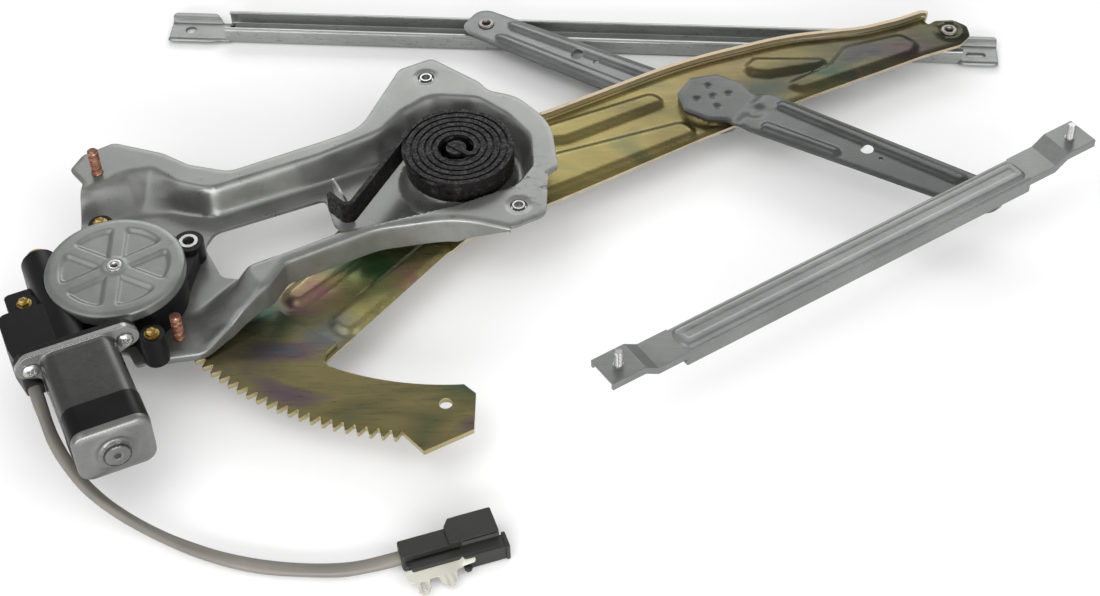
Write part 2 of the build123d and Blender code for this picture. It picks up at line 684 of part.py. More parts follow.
def gear_housing():
    body = disc(housing_r, floor_top, housing_top)
    body += disc(pilot_r, floor_top - 2.5, floor_top)
    y, z = can_axis
    tunnel = Pos(-44.0, y, z) * Rot(0, 90, 0) * Cylinder(
        tunnel_r, 90.0, align=(Align.CENTER, Align.CENTER, Align.MIN))
    body += tunnel
    body += box(-44.0, 45.0, y - tunnel_r, y + tunnel_r, floor_top, z)
    body += blank([(5, -64), (30, -64.5), (46, -62), (46, -40), (5, -40)], [5, 5, 3, 3, 3],
                  floor_top, 21.0)
    body += blank([(-14, -57), (4, -57), (4, -40), (-14, -40)], 3, floor_top, 15.0)
    flange = Pos(can_start - 6.0, 0, 0) * flange_block(3.0)
    body += flange
    for ear, height in zip(motor_ears(), (18.0, 18.0, 18.0)):
        body += disc(ear_r + 0.5, floor_top, floor_top + height, ear)
        foot = [at(9.0, math.degrees(math.atan2(ear[1], ear[0])) + s * 90) for s in (-1, 1)]
        rib = [foot[0], (ear[0] + foot[0][0] * 0.6, ear[1] + foot[0][1] * 0.6),
               (ear[0] + foot[1][0] * 0.6, ear[1] + foot[1][1] * 0.6), foot[1]]
        body += blank(rib, 0, floor_top, height - 4.0)
    far = at(45.0, 109.0)
    body += disc(8.0, floor_top, floor_top + 12.0, far)
    wing = [at(8.0, 19.0, far), at(8.0, 199.0, far), at(34.0, 128.0), at(34.0, 62.0)]
    body += blank(wing, 0, floor_top, 10.0)
    # hollows: wheel room, worm bore, shaft bearing, screw holes
    body -= disc(cavity_r, cavity_floor, housing_top + 5)
    body -= disc(shaft_r + running_play, 0, 40)
    bore = Pos(-38.0, y, z) * Rot(0, 90, 0) * Cylinder(
        worm_r + 0.8, 100.0, align=(Align.CENTER, Align.CENTER, Align.MIN))
    body -= bore
    for ear in motor_ears():
        body -= disc(mount_screw_r, 0, 40, ear)
    body -= disc(bush_r, 0, 40, far)
    for side in (-1, 1):
        body -= can_screw_spot(side) * along_shaft(can_screw_r, can_start - 12, can_start)
    # room for the skirt of the cover
    skirt = disc(cover_r + 0.3, housing_top + cover_sheet - cover_skirt - 0.3, 60)
    body -= skirt - disc(housing_r, 0, housing_top)
    return motor_placed(body) - strain_relief()


def flange_block(thickness):
    y = -worm_offset
    half = [(19.6, 4.5), (19.8, 20.5), (31.5, 25.0), (31.5, 31.0), (26.0, 37.2)]
    points = [(y + a, b) for a, b in half] + [(y - a, b) for a, b in reversed(half)]
    face = make_face(FilletPolyline(*points, radius=[4, 3, 5, 5, 5, 5, 5, 5, 3, 4], close=True))
    return extrude(Plane.YZ * face, amount=thickness, dir=(1, 0, 0))


def can_section(grow):
    return RectangleRounded(can_width + 2 * grow, can_height + 2 * grow, can_corner + grow)


def along_can(face, x0, x1):
    plane = Plane((x0, can_axis[0], can_axis[1]), x_dir=(0, 1, 0), z_dir=(1, 0, 0))
    return extrude(plane * face, amount=x1 - x0, dir=(1, 0, 0))


def along_shaft(r, x0, x1):
    return along_can(Circle(r), x0, x1)


def motor_can():
    body = along_can(can_section(0), can_start, can_end)
    body = fillet(body.faces().sort_by(Axis.X)[-1].edges(), 3.0)
    body += Pos(can_start - 3.0, 0, 0) * flange_block(3.0)
    body += along_shaft(6.9, can_end - 2, can_end + 4.0)
    body -= along_can(can_section(-can_wall), can_start - 4.0, can_end - can_wall)
    body -= along_shaft(5.5, can_end - 3, can_end + 2.8)
    for side in (-1, 1):
        body -= can_screw_spot(side) * along_shaft(can_screw_r, can_start - 20, can_start + 9)
    return motor_placed(body)


def can_screw_spot(side):
    return Pos(0, side * can_screw_offset, can_screw_height - worm_height)


def can_band():
    ring = along_can(can_section(0.4), can_start + 40.0, can_start + 57.0)
    return motor_placed(ring - along_can(can_section(0), can_start, can_end))


def can_screws():
    screws = Part()
    for side in (-1, 1):
        head = along_shaft(can_screw_r + 2.0, can_start, can_start + 2.6)
        stem = along_shaft(can_screw_r, can_start - 12.0, can_start)
        screws += can_screw_spot(side) * (head + stem)
    return motor_placed(screws)


def armature_shaft():
    body = along_shaft(3.0, -32.0, can_end + 2.4)
    body += along_shaft(worm_r, -16.0, 16.0)
    return motor_placed(body)


def armature():
    core = along_shaft(12.5, can_start + 16, can_start + 46)
    return motor_placed(core - along_shaft(3.0, 0, can_end))


def commutator():
    ring = along_shaft(7.0, can_start + 2, can_start + 12) - along_shaft(3.0, 0, can_end)
    return motor_placed(ring)


def magnets():
    ring = along_shaft(18.0, can_start + 12, can_start + 50) - along_shaft(13.2, 0, can_end)
    keep = box(0, can_end, -60, 60, can_axis[1] - 10.0, can_axis[1] + 10.0)
    return motor_placed(ring & keep)


def brush_card():
    card = along_can(RectangleRounded(34.0, 27.0, 6.0), can_start - 2.5, can_start + 0.5)
    card -= along_shaft(7.6, 0, can_end)
    for side in (-1, 1):
        y0 = can_axis[0] + side * 11.0
        card += box(can_start + 0.5, can_start + 8.0, y0 - 3.0, y0 + 3.0, 17.0, 23.0)
    return motor_placed(card)


def shaft_bearings():
    body = Part()
    for r, x0, x1 in ((worm_r + 0.8, -36.0, -26.0), (worm_r + 0.8, 26.0, 36.0),
                      (5.5, can_end - 1.2, can_end + 2.6)):
        body += along_shaft(r, x0, x1) - along_shaft(3.0 + running_play, 0 - 60, can_end + 20)
    return motor_placed(body)


def worm_wheel():
    wheel = disc(wheel_r, wheel_bottom, wheel_bottom + wheel_width)
    wheel -= disc(20.0, wheel_bottom, wheel_bottom + wheel_width - 3.0)
    wheel -= disc(shaft_r + running_play, 0, 40)
    for k in range(3):
        wheel += Rot(0, 0, 120.0 * k) * box(9.5, 20.5, -1.5, 1.5, wheel_bottom,
                                           wheel_bottom + wheel_width - 3.0)
    return motor_placed(wheel)


def damper():
    top = wheel_bottom + wheel_width - 3.0
    body = disc(19.8, wheel_bottom + 0.2, top) - disc(8.0, 0, 40)
    for k in range(6):
        body -= Rot(0, 0, 60.0 * k) * box(8.5, 25.0, -1.5, 1.5, 0, 40)
    return motor_placed(body)


def output_shaft():
    shaft = disc(shaft_r, arm_top - 1.0, wheel_bottom + wheel_width + 1.0)
    plate = disc(19.5, cavity_floor + 0.3, wheel_bottom - 0.1)
    for k in range(3):
        plate += Rot(0, 0, 60.0 + 120.0 * k) * box(9.0, 19.0, -1.5, 1.5, wheel_bottom - 0.1,
                                                  wheel_bottom + wheel_width - 4.0)
    shaft += plate
    shaft -= disc(2.6, wheel_bottom, 60)
    return motor_placed(shaft) + pinion_teeth_solid()


def gear_cover():
    top = housing_top + cover_sheet
    cover = disc(cover_r, top - cover_skirt, top) - disc(housing_r + 0.05, 0, housing_top)
    for k in range(6):
        panel = [at(9.0, 60.0 * k - 12), at(28.0, 60.0 * k - 22), at(29.4, 60.0 * k),
                 at(28.0, 60.0 * k + 22), at(9.0, 60.0 * k + 12)]
        low = bead(panel, 2.0, top - cover_sheet - cover_recess, cover_recess + 0.2, 0.2)
        dent = blank(grown(panel, -0.6), 1.6, top - cover_recess, 5.0)
        cover = cover + low - dent
    return motor_placed(cover - disc(2.5, 0, 60))


def cover_rivet():
    top = housing_top + cover_sheet
    stem = disc(2.5, wheel_bottom + wheel_width - 6.0, top) + disc(4.2, top, top + 0.8)
    return motor_placed(stem - disc(1.3, top - 4, 60))


def mount_screws():
    screws = Part()
    for ear in motor_ears():
        top = floor_top + 18.0
        screws += disc(mount_screw_r, floor_bottom - 1.0, top, ear)
        screws += extrude(Pos(ear[0], ear[1], top) * RegularPolygon(4.4, 6), 2.6)
    return motor_placed(screws)


def mount_bush():
    point = bush_point()
    return disc(bush_r, floor_top, floor_top + 12.4, point) - disc(bush_bore_r, 0, 60, point)


# Cable and its connector

cable_route = [
    (-209.6, -151.5, 15.5), (-205.0, -163.0, 12.5), (-196.5, -182.5, 3.5),
    (-178.0, -203.5, -8.5), (-143.5, -224.5, -16.0), (-103.0, -242.0, -17.2),
    (-62.0, -247.0, -17.2), (-43.0, -245.5, -16.3), (-28.5, -241.1, -16.3),
]


def cable_radii():
    radii = []
    for a, b, c in zip(cable_route, cable_route[1:], cable_route[2:]):
        u, v = Vector(*b) - Vector(*a), Vector(*c) - Vector(*b)
        turn = math.radians(u.get_angle(v))
        radii.append(cable_corner * min(u.length, v.length) / math.tan(turn / 2))
    return radii


def cable():
    radii = cable_radii()
    print("cable corner radii", [round(r) for r in radii])
    path = FilletPolyline(*cable_route, radius=radii)
    start = Plane(origin=path @ 0, z_dir=path % 0)
    tube = sweep(start * Circle(cable_d / 2), path=path)
    print("cable length", round(path.length, 1), "volume ratio",
          round(tube.volume / (math.pi * cable_d ** 2 / 4 * path.length), 4))
    return tube


def strain_relief():
    first = Vector(*cable_route[0])
    u = (Vector(*cable_route[1]) - first).normalized()
    base = Plane(origin=first - u * 6.0, z_dir=u)
    return extrude(base * Circle(cable_d / 2 + 1.2), amount=6.0)


def connector_frame(solid):
    return placed(solid, cable_route[-1], angle_to(cable_route[-2], cable_route[-1]))


def connector_housing():
    low, top = rail_bottom + 0.2, -7.5
    rear = box(0, 22.0, -9.5, 8.0, low + 1.0, top - 1.5)
    front = box(22.0, 46.0, -9.5, 9.5, low, top)
    body = rear + front
    for x0, x1, half in ((25.0, 60.0, 7.5),):
        body -= box(x0, x1, -half, half, low + 2.0, top - 2.0)
    body += box(16.0, 30.0, -3.0, 3.0, top - 1.5, top + 0.8)
    return connector_frame(body)


def terminals():
    pins = Part()
    for k in (-1, 1):
        pins += box(25.0, 38.0, k * 3.2 - 1.1, k * 3.2 + 1.1, -15.0, -13.8)
    return connector_frame(pins)


def connector_clip():
    low = rail_bottom
    strip = box(-1.0, 34.0, -10.7, -9.5, low + 1.2, low + 7.0)
    loop = box(2.0, 9.0, -13.8, -10.7, low + 1.0, low + 2.6)
    leaf = box(18.0, 29.0, -13.3, -10.7, low + 1.0, low + 2.6)
    return connector_frame(strip + loop + leaf)


pieces = {
    "back_plate": back_plate,
    "plate_studs": plate_studs,
    "clinch_nuts": clinch_nuts,
    "pivot_bushing": pivot_bushing,
    "clock_spring": clock_spring,
    "gear_housing": gear_housing,
    "gear_cover": gear_cover,
    "cover_rivet": cover_rivet,
    "mount_screws": mount_screws,
    "mount_bush": mount_bush,
    "motor_can": motor_can,
    "can_band": can_band,
    "can_screws": can_screws,
    "motor_magnets": magnets,
    "brush_card": brush_card,
    "shaft_bearings": shaft_bearings,
    "armature_shaft": armature_shaft,
    "armature_core": armature,
    "commutator": commutator,
    "worm_wheel": worm_wheel,
    "damper": damper,
    "output_pinion": output_shaft,
    "sector_gear": sector_gear,
    "lift_arm": lift_arm,
    "pivot_arbor": arbor,
    "arm_roller_pin": lambda: pin_at(arm_roller, arm_bottom, arm_top),
    "arm_roller": lambda: roller_at(arm_roller),
    "aux_low_half": aux_low_half,
    "aux_high_half": aux_high_half,
    "centre_collar": centre_collar,
    "aux_roller_pin": lambda: pin_at(aux_roller, low_bottom, low_top),
    "aux_roller": lambda: roller_at(aux_roller),
    "lower_roller_pin": lower_pin,
    "lower_roller": lambda: upside(roller()),
    "glass_rail": glass_rail,
    "lower_rail": lower_rail,
    "lower_rail_studs": lower_rail_studs,
    "motor_cable": cable,
    "strain_relief": strain_relief,
    "connector_housing": connector_housing,
    "connector_terminals": terminals,
    "connector_clip": connector_clip,
}

origin = Pos(-stud_points[0][0], -stud_points[0][1], -flange_top)


def main():
    os.makedirs("parts", exist_ok=True)
    for name, make in pieces.items():
        solid = origin * make()
        print(name, len(solid.solids()), round(solid.volume, 1), solid.is_valid)
        export_step(solid, f"parts/{name}.step")


if __name__ == "__main__":
    main()
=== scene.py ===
import bpy
import json
import math
import numpy as np
from mathutils import Matrix, Vector
from mathutils.geometry import delaunay_2d_cdt


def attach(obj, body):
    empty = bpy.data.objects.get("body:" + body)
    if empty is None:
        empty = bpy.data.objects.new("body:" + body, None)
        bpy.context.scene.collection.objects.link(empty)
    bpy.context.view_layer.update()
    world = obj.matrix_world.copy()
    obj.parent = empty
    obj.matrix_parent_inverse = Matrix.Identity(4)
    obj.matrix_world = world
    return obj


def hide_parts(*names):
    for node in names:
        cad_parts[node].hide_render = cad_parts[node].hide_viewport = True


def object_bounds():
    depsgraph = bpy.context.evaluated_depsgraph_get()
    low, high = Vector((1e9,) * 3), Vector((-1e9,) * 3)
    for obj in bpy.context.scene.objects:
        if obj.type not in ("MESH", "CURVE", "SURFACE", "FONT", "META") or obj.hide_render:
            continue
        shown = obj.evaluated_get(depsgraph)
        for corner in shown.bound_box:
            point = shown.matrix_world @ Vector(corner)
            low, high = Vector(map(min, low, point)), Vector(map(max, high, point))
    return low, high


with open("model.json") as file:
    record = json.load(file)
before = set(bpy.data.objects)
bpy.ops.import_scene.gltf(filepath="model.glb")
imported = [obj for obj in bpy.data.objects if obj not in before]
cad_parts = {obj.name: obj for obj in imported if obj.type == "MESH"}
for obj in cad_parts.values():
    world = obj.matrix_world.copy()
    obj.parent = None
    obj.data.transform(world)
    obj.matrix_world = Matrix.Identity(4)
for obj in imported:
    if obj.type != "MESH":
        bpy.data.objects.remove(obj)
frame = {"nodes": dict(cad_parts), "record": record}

cad_box = [list(map(float, p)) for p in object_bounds()]
scene = bpy.context.scene
nodes = frame["nodes"]
MM = 0.001
PIVOT = (196.0, 0.0, -22.0)  # the main pivot in the frame, in millimetres


def row(point):
    """Place in the frame, in metres, of a point in millimetres from the main pivot."""
    return Vector([a + b for a, b in zip(point, PIVOT)]) * MM


def plan(place):
    """Point in millimetres from the main pivot of a place in the frame, in metres."""
    return place / MM - Vector(PIVOT)


# Camera at the photograph's viewing angle

PHOTO_WIDTH, FOCAL_LENGTH = 1100.0, 2100.0  # pixels
SENSOR = 36.0
EYE = (243.8, -856.7, 762.1)  # millimetres in the frame
pitch, roll = math.radians(45.53), math.radians(-2.15)
forward = Vector((0, math.cos(pitch), -math.sin(pitch)))
up = Vector((0, math.sin(pitch), math.cos(pitch)))
side = Vector((1, 0, 0))
right = side * math.cos(roll) + up * math.sin(roll)
upward = up * math.cos(roll) - side * math.sin(roll)
camera_data = bpy.data.cameras.new("camera")
camera_data.sensor_fit = "HORIZONTAL"
camera_data.sensor_width = SENSOR
camera_data.lens = SENSOR * FOCAL_LENGTH / PHOTO_WIDTH
camera_data.clip_start, camera_data.clip_end = 0.01, 20
camera = bpy.data.objects.new("camera", camera_data)
scene.collection.objects.link(camera)
facing = Matrix((right, upward, -forward)).transposed().to_4x4()
camera.matrix_world = Matrix.Translation(Vector(EYE) * MM) @ facing
scene.camera = camera


# Materials

finishes = {}
gold_stops = [(0.26, (0.085, 0.080, 0.060)), (0.38, (0.13, 0.115, 0.055)), (0.48, (0.20, 0.17, 0.070)),
              (0.56, (0.24, 0.20, 0.085)), (0.63, (0.15, 0.15, 0.075)), (0.70, (0.10, 0.12, 0.085)),
              (0.80, (0.15, 0.10, 0.10))]
olive_stops = [(0.24, (0.030, 0.065, 0.045)), (0.34, (0.075, 0.085, 0.040)), (0.44, (0.125, 0.105, 0.048)),
               (0.52, (0.155, 0.13, 0.055)), (0.60, (0.095, 0.065, 0.075)), (0.66, (0.055, 0.075, 0.090)),
               (0.74, (0.055, 0.095, 0.055)), (0.84, (0.15, 0.14, 0.05))]

tints = [  # place on the sector or arm in millimetres, reach, colour
    ((-98.0, -86.0), 34.0, (0.030, 0.075, 0.055)),
    ((-80.0, -76.0), 22.0, (0.21, 0.10, 0.10)),
    ((-68.0, -104.0), 20.0, (0.075, 0.085, 0.115)),
    ((-40.0, -54.0), 30.0, (0.045, 0.12, 0.045)),
    ((-24.0, -66.0), 18.0, (0.24, 0.12, 0.10)),
    ((-107.0, -120.0), 26.0, (0.058, 0.052, 0.042)),
    ((236.0, 102.0), 34.0, (0.075, 0.070, 0.080)),
    ((214.0, 90.0), 20.0, (0.040, 0.085, 0.055)),
    ((266.0, 112.0), 22.0, (0.12, 0.075, 0.085)),
    ((176.0, 74.0), 24.0, (0.055, 0.090, 0.070)),
]


def new_material(name):
    material = bpy.data.materials.new(name)
    material.use_nodes = True
    finishes[name] = material
    return material.node_tree, material.node_tree.nodes["Principled BSDF"]


def put(node, **values):
    """Sets plain values on a node's inputs; an underscore stands for a space."""
    for key, value in values.items():
        node.inputs[key.replace("_", " ")].default_value = value
    return node


def link(tree, a, b):
    tree.links.new(a, b)


def coords(tree, scale=(1, 1, 1), turn=0.0):
    mapping = put(tree.nodes.new("ShaderNodeMapping"), Scale=scale, Rotation=(0, 0, turn))
    link(tree, tree.nodes.new("ShaderNodeTexCoord").outputs["Object"], mapping.inputs["Vector"])
    return mapping.outputs["Vector"]


def noise(tree, vector, scale, detail=4.0, rough=0.55, distortion=0.0):
    node = put(tree.nodes.new("ShaderNodeTexNoise"), Scale=scale, Detail=detail, Roughness=rough,
               Distortion=distortion)
    link(tree, vector, node.inputs["Vector"])
    return node.outputs["Fac"]


def axis_of(tree, vector, index):
    node = tree.nodes.new("ShaderNodeSeparateXYZ")
    link(tree, vector, node.inputs[0])
    return node.outputs[index]


def away_from(tree, centre):
    """Distance from a place in the frame, in metres."""
    node = tree.nodes.new("ShaderNodeVectorMath")
    node.operation = "DISTANCE"
    link(tree, coords(tree), node.inputs[0])
    node.inputs[1].default_value = centre
    return node.outputs["Value"]


def ramp(tree, value, stops):
    node = tree.nodes.new("ShaderNodeValToRGB")
    elements = node.color_ramp.elements
    while len(elements) < len(stops):
        elements.new(0.5)
    for element, (position, colour) in zip(elements, stops):
        element.position = position
        element.color = (*colour, 1.0)
    link(tree, value, node.inputs["Fac"])
    return node.outputs["Color"]


def grey_ramp(tree, value, low, high, a=0.3, b=0.7):
    return ramp(tree, value, [(a, (low,) * 3), (b, (high,) * 3)])


def blend(tree, factor, a, b, mode="MIX"):
    node = tree.nodes.new("ShaderNodeMix")
    node.data_type = "RGBA"
    node.blend_type = mode
    for value, socket in ((factor, "Factor"), (a, 6), (b, 7)):
        target = node.inputs[socket]
        if hasattr(value, "links"):
            link(tree, value, target)
        elif socket == "Factor":
            target.default_value = value
        else:
            target.default_value = (*value, 1.0)
    return node.outputs[2]


def bump(tree, bsdf, height, strength, distance, normal=None):
    node = put(tree.nodes.new("ShaderNodeBump"), Strength=strength, Distance=distance)
    link(tree, height, node.inputs["Height"])
    if normal is not None:
        link(tree, normal, node.inputs["Normal"])
    link(tree, node.outputs["Normal"], bsdf.inputs["Normal"])
    return node.outputs["Normal"]


def complete(tree, bsdf, colour, roughness, relief, strength, depth, radius=0.0, **surface):
    """Connects colour, roughness and relief; a radius in millimetres softens the edges."""
    link(tree, colour, bsdf.inputs["Base Color"])
    link(tree, roughness, bsdf.inputs["Roughness"])
    put(bsdf, **surface)
    normal = None
    if radius:
        node = put(tree.nodes.new("ShaderNodeBevel"), Radius=radius * MM)
        node.samples = 4
        normal = node.outputs["Normal"]
    return bump(tree, bsdf, relief, strength, depth, normal)


def cut_edge(tree, colour, edge):
    """Sheared sides of a sheet show paler bare metal."""
    geometry = tree.nodes.new("ShaderNodeNewGeometry")
    tilt = tree.nodes.new("ShaderNodeMath")
    tilt.operation = "ABSOLUTE"
    link(tree, axis_of(tree, geometry.outputs["True Normal"], 2), tilt.inputs[0])
    amount = ramp(tree, tilt.outputs[0], [(0.12, (1, 1, 1)), (0.2, (0, 0, 0))])
    return blend(tree, amount, colour, edge)


def zinc(name, low, high, metallic=0.6, rough=(0.34, 0.5), streak=(1, 1, 1), turn=0.0,
         radius=0.8, grime=0.0, smudge=None, pale=None):
    """Grey zinc plating with faint clouds, rolling streaks, rubbed marks and grime."""
    tree, bsdf = new_material(name)
    cloud = noise(tree, coords(tree), 14.0, 5.0, 0.6)
    lines = noise(tree, coords(tree, streak, turn), 60.0, 6.0, 0.7)
    colour = ramp(tree, cloud, [(0.3, low), (0.7, high)])
    colour = blend(tree, 0.5, colour, grey_ramp(tree, lines, 0.72, 1.15), "MULTIPLY")
    spots = noise(tree, coords(tree), 150.0, 4.0, 0.75)
    marks = ramp(tree, spots, [(0.60, (1, 1, 1)), (0.72, (0.6, 0.6, 0.58))])
    colour = blend(tree, 0.45, colour, marks, "MULTIPLY")
    if smudge:
        centre, size = smudge
        reach = ramp(tree, away_from(tree, centre), [(0.0, (1, 1, 1)), (size, (0, 0, 0))])
        smear = noise(tree, coords(tree, (1.0, 1.8, 1.0), -0.6), 75.0, 6.0, 0.75, 1.5)
        mask = ramp(tree, smear, [(0.55, (0, 0, 0)), (0.62, (1, 1, 1))])
        mask = blend(tree, 1.0, reach, mask, "MULTIPLY")
        colour = blend(tree, mask, colour, (0.035, 0.033, 0.032))
    if grime:
        patch = noise(tree, coords(tree, (1.0, 2.2, 1.0), 0.4), 30.0, 6.0, 0.8, 1.2)
        dirt = ramp(tree, patch, [(0.63, (1, 1, 1)), (0.69, (0.35, 0.33, 0.3)), (0.74, (1, 1, 1))])
        colour = blend(tree, grime, colour, dirt, "MULTIPLY")
    if pale:
        angle, end, tone = pale
        amount = ramp(tree, axis_of(tree, coords(tree, (1, 1, 1), angle), 0),
                      [(end - 0.0006, (1, 1, 1)), (end + 0.0006, (0, 0, 0))])
        colour = blend(tree, amount, colour, tone)
    complete(tree, bsdf, colour, grey_ramp(tree, lines, *rough), lines, 0.10, 0.0002, radius,
             Metallic=metallic)


def chromate(name, stops, scale, edge, radius, painted_light_shade):
    """Yellow chromate over zinc: thin-film bands of gold, olive, green, violet and blue."""
    tree, bsdf = new_material(name)
    cloud = noise(tree, coords(tree, (1.0, 1.6, 1.0), 0.5), scale, 2.5, 0.5, 0.9)
    colour = ramp(tree, cloud, stops)
    fine = noise(tree, coords(tree, (1, 10, 1), 0.5), 60.0, 6.0, 0.7)
    colour = blend(tree, 0.25, colour, grey_ramp(tree, fine, 0.7, 1.2), "MULTIPLY")
    weight = put(tree.nodes.new("ShaderNodeLayerWeight"), Blend=0.35)
    tint = ramp(tree, weight.outputs["Facing"], [(0.0, (1.0, 1.0, 1.0)), (0.45, (0.92, 1.0, 0.9)),
                                                 (0.8, (1.05, 0.85, 0.95))])
    colour = blend(tree, 0.6, colour, tint, "MULTIPLY")
    ragged = noise(tree, coords(tree, (1.0, 1.4, 1.0), 0.6), 32.0, 3.0, 0.6, 1.2)
    for centre, reach, tone in tints:
        amount = ramp(tree, away_from(tree, row((*centre, -2.0))),
                      [(0.15 * reach * MM, (1, 1, 1)), (reach * MM, (0, 0, 0))])
        amount = blend(tree, 1.0, amount, grey_ramp(tree, ragged, 0.15, 1.2), "MULTIPLY")
        colour = blend(tree, amount, colour, tone)
    # Painted light and shade: a multiply along the frame's x lightens the lift arm's tail near the plate and
    # darkens the arm towards its right end.
    painted_light_shade_along_x = ramp(tree, axis_of(tree, coords(tree), 0), painted_light_shade)
    colour = blend(tree, 1.0, colour, painted_light_shade_along_x, "MULTIPLY")
    complete(tree, bsdf, cut_edge(tree, colour, edge), grey_ramp(tree, fine, 0.24, 0.38), fine,
             0.08, 0.0002, radius, Metallic=0.85)


def plastic(name, colour, rough=0.5, grain=900.0, strength=0.15, radius=0.5, shine=0.5):
    tree, bsdf = new_material(name)
    fine = noise(tree, coords(tree), grain, 2.0, 0.6)
    big = noise(tree, coords(tree), 25.0, 3.0, 0.6)
    dark = tuple(c * 0.75 for c in colour)
    complete(tree, bsdf, ramp(tree, big, [(0.35, dark), (0.7, colour)]),
             grey_ramp(tree, big, rough - 0.06, rough + 0.08), fine, strength, 0.0001, radius,
             Metallic=0.0, Specular_IOR_Level=shine)


def bright(name, low, high, rough=(0.2, 0.35), scale=120.0, metallic=0.9):
    tree, bsdf = new_material(name)
    grain = noise(tree, coords(tree), scale, 5.0, 0.65)
    complete(tree, bsdf, ramp(tree, grain, [(0.3, low), (0.7, high)]), grey_ramp(tree, grain, *rough),
             grain, 0.1, 0.0001, Metallic=metallic)


def greasy(name):
    """Blackened spring steel under brown grease that shines where it is wet."""
    tree, bsdf = new_material(name)
    film = noise(tree, coords(tree), 160.0, 6.0, 0.75)
    clot = noise(tree, coords(tree), 420.0, 4.0, 0.8)
    colour = ramp(tree, film, [(0.35, (0.003, 0.0027, 0.0027)), (0.57, (0.007, 0.006, 0.006)),
                               (0.74, (0.045, 0.036, 0.031))])
    first = complete(tree, bsdf, colour, grey_ramp(tree, clot, 0.62, 0.10, 0.45, 0.60), film, 0.5, 0.0008,
                     Metallic=0.0, Specular_IOR_Level=0.2)
    bump(tree, bsdf, clot, 0.45, 0.0005, first)


def locked_thread(name):
    """Copper-red thread lock over a bright screw."""
    tree, bsdf = new_material(name)
    patch = noise(tree, coords(tree), 330.0, 4.0, 0.7)
    colour = ramp(tree, patch, [(0.42, (0.17, 0.055, 0.035)), (0.54, (0.26, 0.11, 0.07)),
                                (0.61, (0.34, 0.25, 0.14)), (0.68, (0.52, 0.48, 0.41))])
    # Bands at about the thread's pitch paint shade into the grooves and highlights onto the crests.
    wave = put(tree.nodes.new("ShaderNodeTexWave"), Scale=220.0)
    wave.bands_direction = "Z"
    link(tree, coords(tree), wave.inputs["Vector"])
    thread_shade_bands = grey_ramp(tree, wave.outputs["Fac"], 0.3, 1.3, 0.2, 0.8)
    colour = blend(tree, 0.75, colour, thread_shade_bands, "MULTIPLY")
    complete(tree, bsdf, colour, grey_ramp(tree, patch, 0.55, 0.28), patch, 0.3, 0.0003, Metallic=0.5)


zinc("plate_zinc", (0.165, 0.170, 0.162), (0.225, 0.230, 0.216), 0.68, (0.25, 0.40), grime=0.5,
     smudge=((0.238, -0.018, 0.0), 0.034))
zinc("cover_zinc", (0.165, 0.172, 0.166), (0.225, 0.232, 0.222), 0.65, (0.28, 0.42))
zinc("lip_zinc", (0.26, 0.27, 0.26), (0.36, 0.37, 0.36), 0.7, (0.24, 0.38), (1, 14, 14), 0.1, 0.0, 0.2)
zinc("rail_zinc", (0.150, 0.156, 0.152), (0.235, 0.242, 0.236), 0.7, (0.28, 0.44), (1, 14, 14), 0.1, 0.7, 0.3)
zinc("arm_zinc", (0.095, 0.100, 0.098), (0.150, 0.156, 0.152), 0.7, (0.28, 0.42), (1, 10, 10), 0.0, 0.0, 0.3)
# A darker copy of arm_zinc paints shade on the upper half of the cross arm.
zinc("arm_zinc_painted_shade", (0.050, 0.053, 0.051), (0.088, 0.092, 0.089), 0.7, (0.26, 0.4), (1, 10, 10), -0.5, 0.0,
     0.3)
zinc("end_steel", (0.135, 0.138, 0.130), (0.19, 0.192, 0.182), 0.7, (0.28, 0.4), radius=0.0)
zinc("can_steel", (0.045, 0.047, 0.045), (0.075, 0.077, 0.073), 0.75, (0.22, 0.34),
     pale=(math.radians(67.0), 0.1345, (0.30, 0.30, 0.29)))
# The last list paints light on the lift arm's tail and shade towards its right end.
chromate("yellow_zinc", gold_stops, 9.0, (0.50, 0.41, 0.29), 0.0,
         [(0.13, (1.2, 1.25, 1.2)), (0.27, (0.85, 0.82, 0.72)), (0.36, (0.50, 0.46, 0.50)),
          (0.43, (0.46, 0.48, 0.46)), (0.49, (0.30, 0.34, 0.33))])
chromate("sector_zinc", olive_stops, 11.0, (0.40, 0.34, 0.18), 0.8, [(0.0, (1, 1, 1)), (1.0, (1, 1, 1))])
locked_thread("stud_copper")
greasy("spring_steel")
bright("bright_steel", (0.32, 0.32, 0.31), (0.50, 0.50, 0.48))
bright("gold_steel", (0.20, 0.13, 0.03), (0.36, 0.26, 0.08))
bright("dark_steel", (0.05, 0.05, 0.05), (0.10, 0.10, 0.10), (0.35, 0.5))
bright("dark_rivet", (0.13, 0.125, 0.11), (0.24, 0.23, 0.21), (0.25, 0.4))
bright("tongue_steel", (0.40, 0.41, 0.40), (0.55, 0.56, 0.54), (0.2, 0.34), 60.0)
bright("cut_steel", (0.36, 0.29, 0.19), (0.50, 0.42, 0.29), (0.4, 0.55), 200.0, 0.4)
bright("copper", (0.42, 0.18, 0.08), (0.58, 0.30, 0.16))
bright("bronze", (0.28, 0.18, 0.08), (0.40, 0.27, 0.13), (0.4, 0.55))
plastic("black_plastic", (0.0045, 0.0045, 0.005), 0.40, shine=0.16)
plastic("band_black", (0.004, 0.004, 0.0045), 0.30, 900.0, 0.1, 0.4, 0.14)
plastic("connector_plastic", (0.022, 0.023, 0.020), 0.42, 700.0, 0.2, 0.0, 0.3)
plastic("clip_plastic", (0.46, 0.45, 0.39), 0.45)
plastic("nylon", (0.50, 0.48, 0.41), 0.45)
plastic("rubber", (0.012, 0.012, 0.013), 0.6, 900.0, 0.2, 0.4, 0.25)
plastic("sleeve", (0.156, 0.144, 0.125), 0.45, 500.0, 0.4, 0.0)
plastic("ferrite", (0.05, 0.05, 0.055), 0.6)

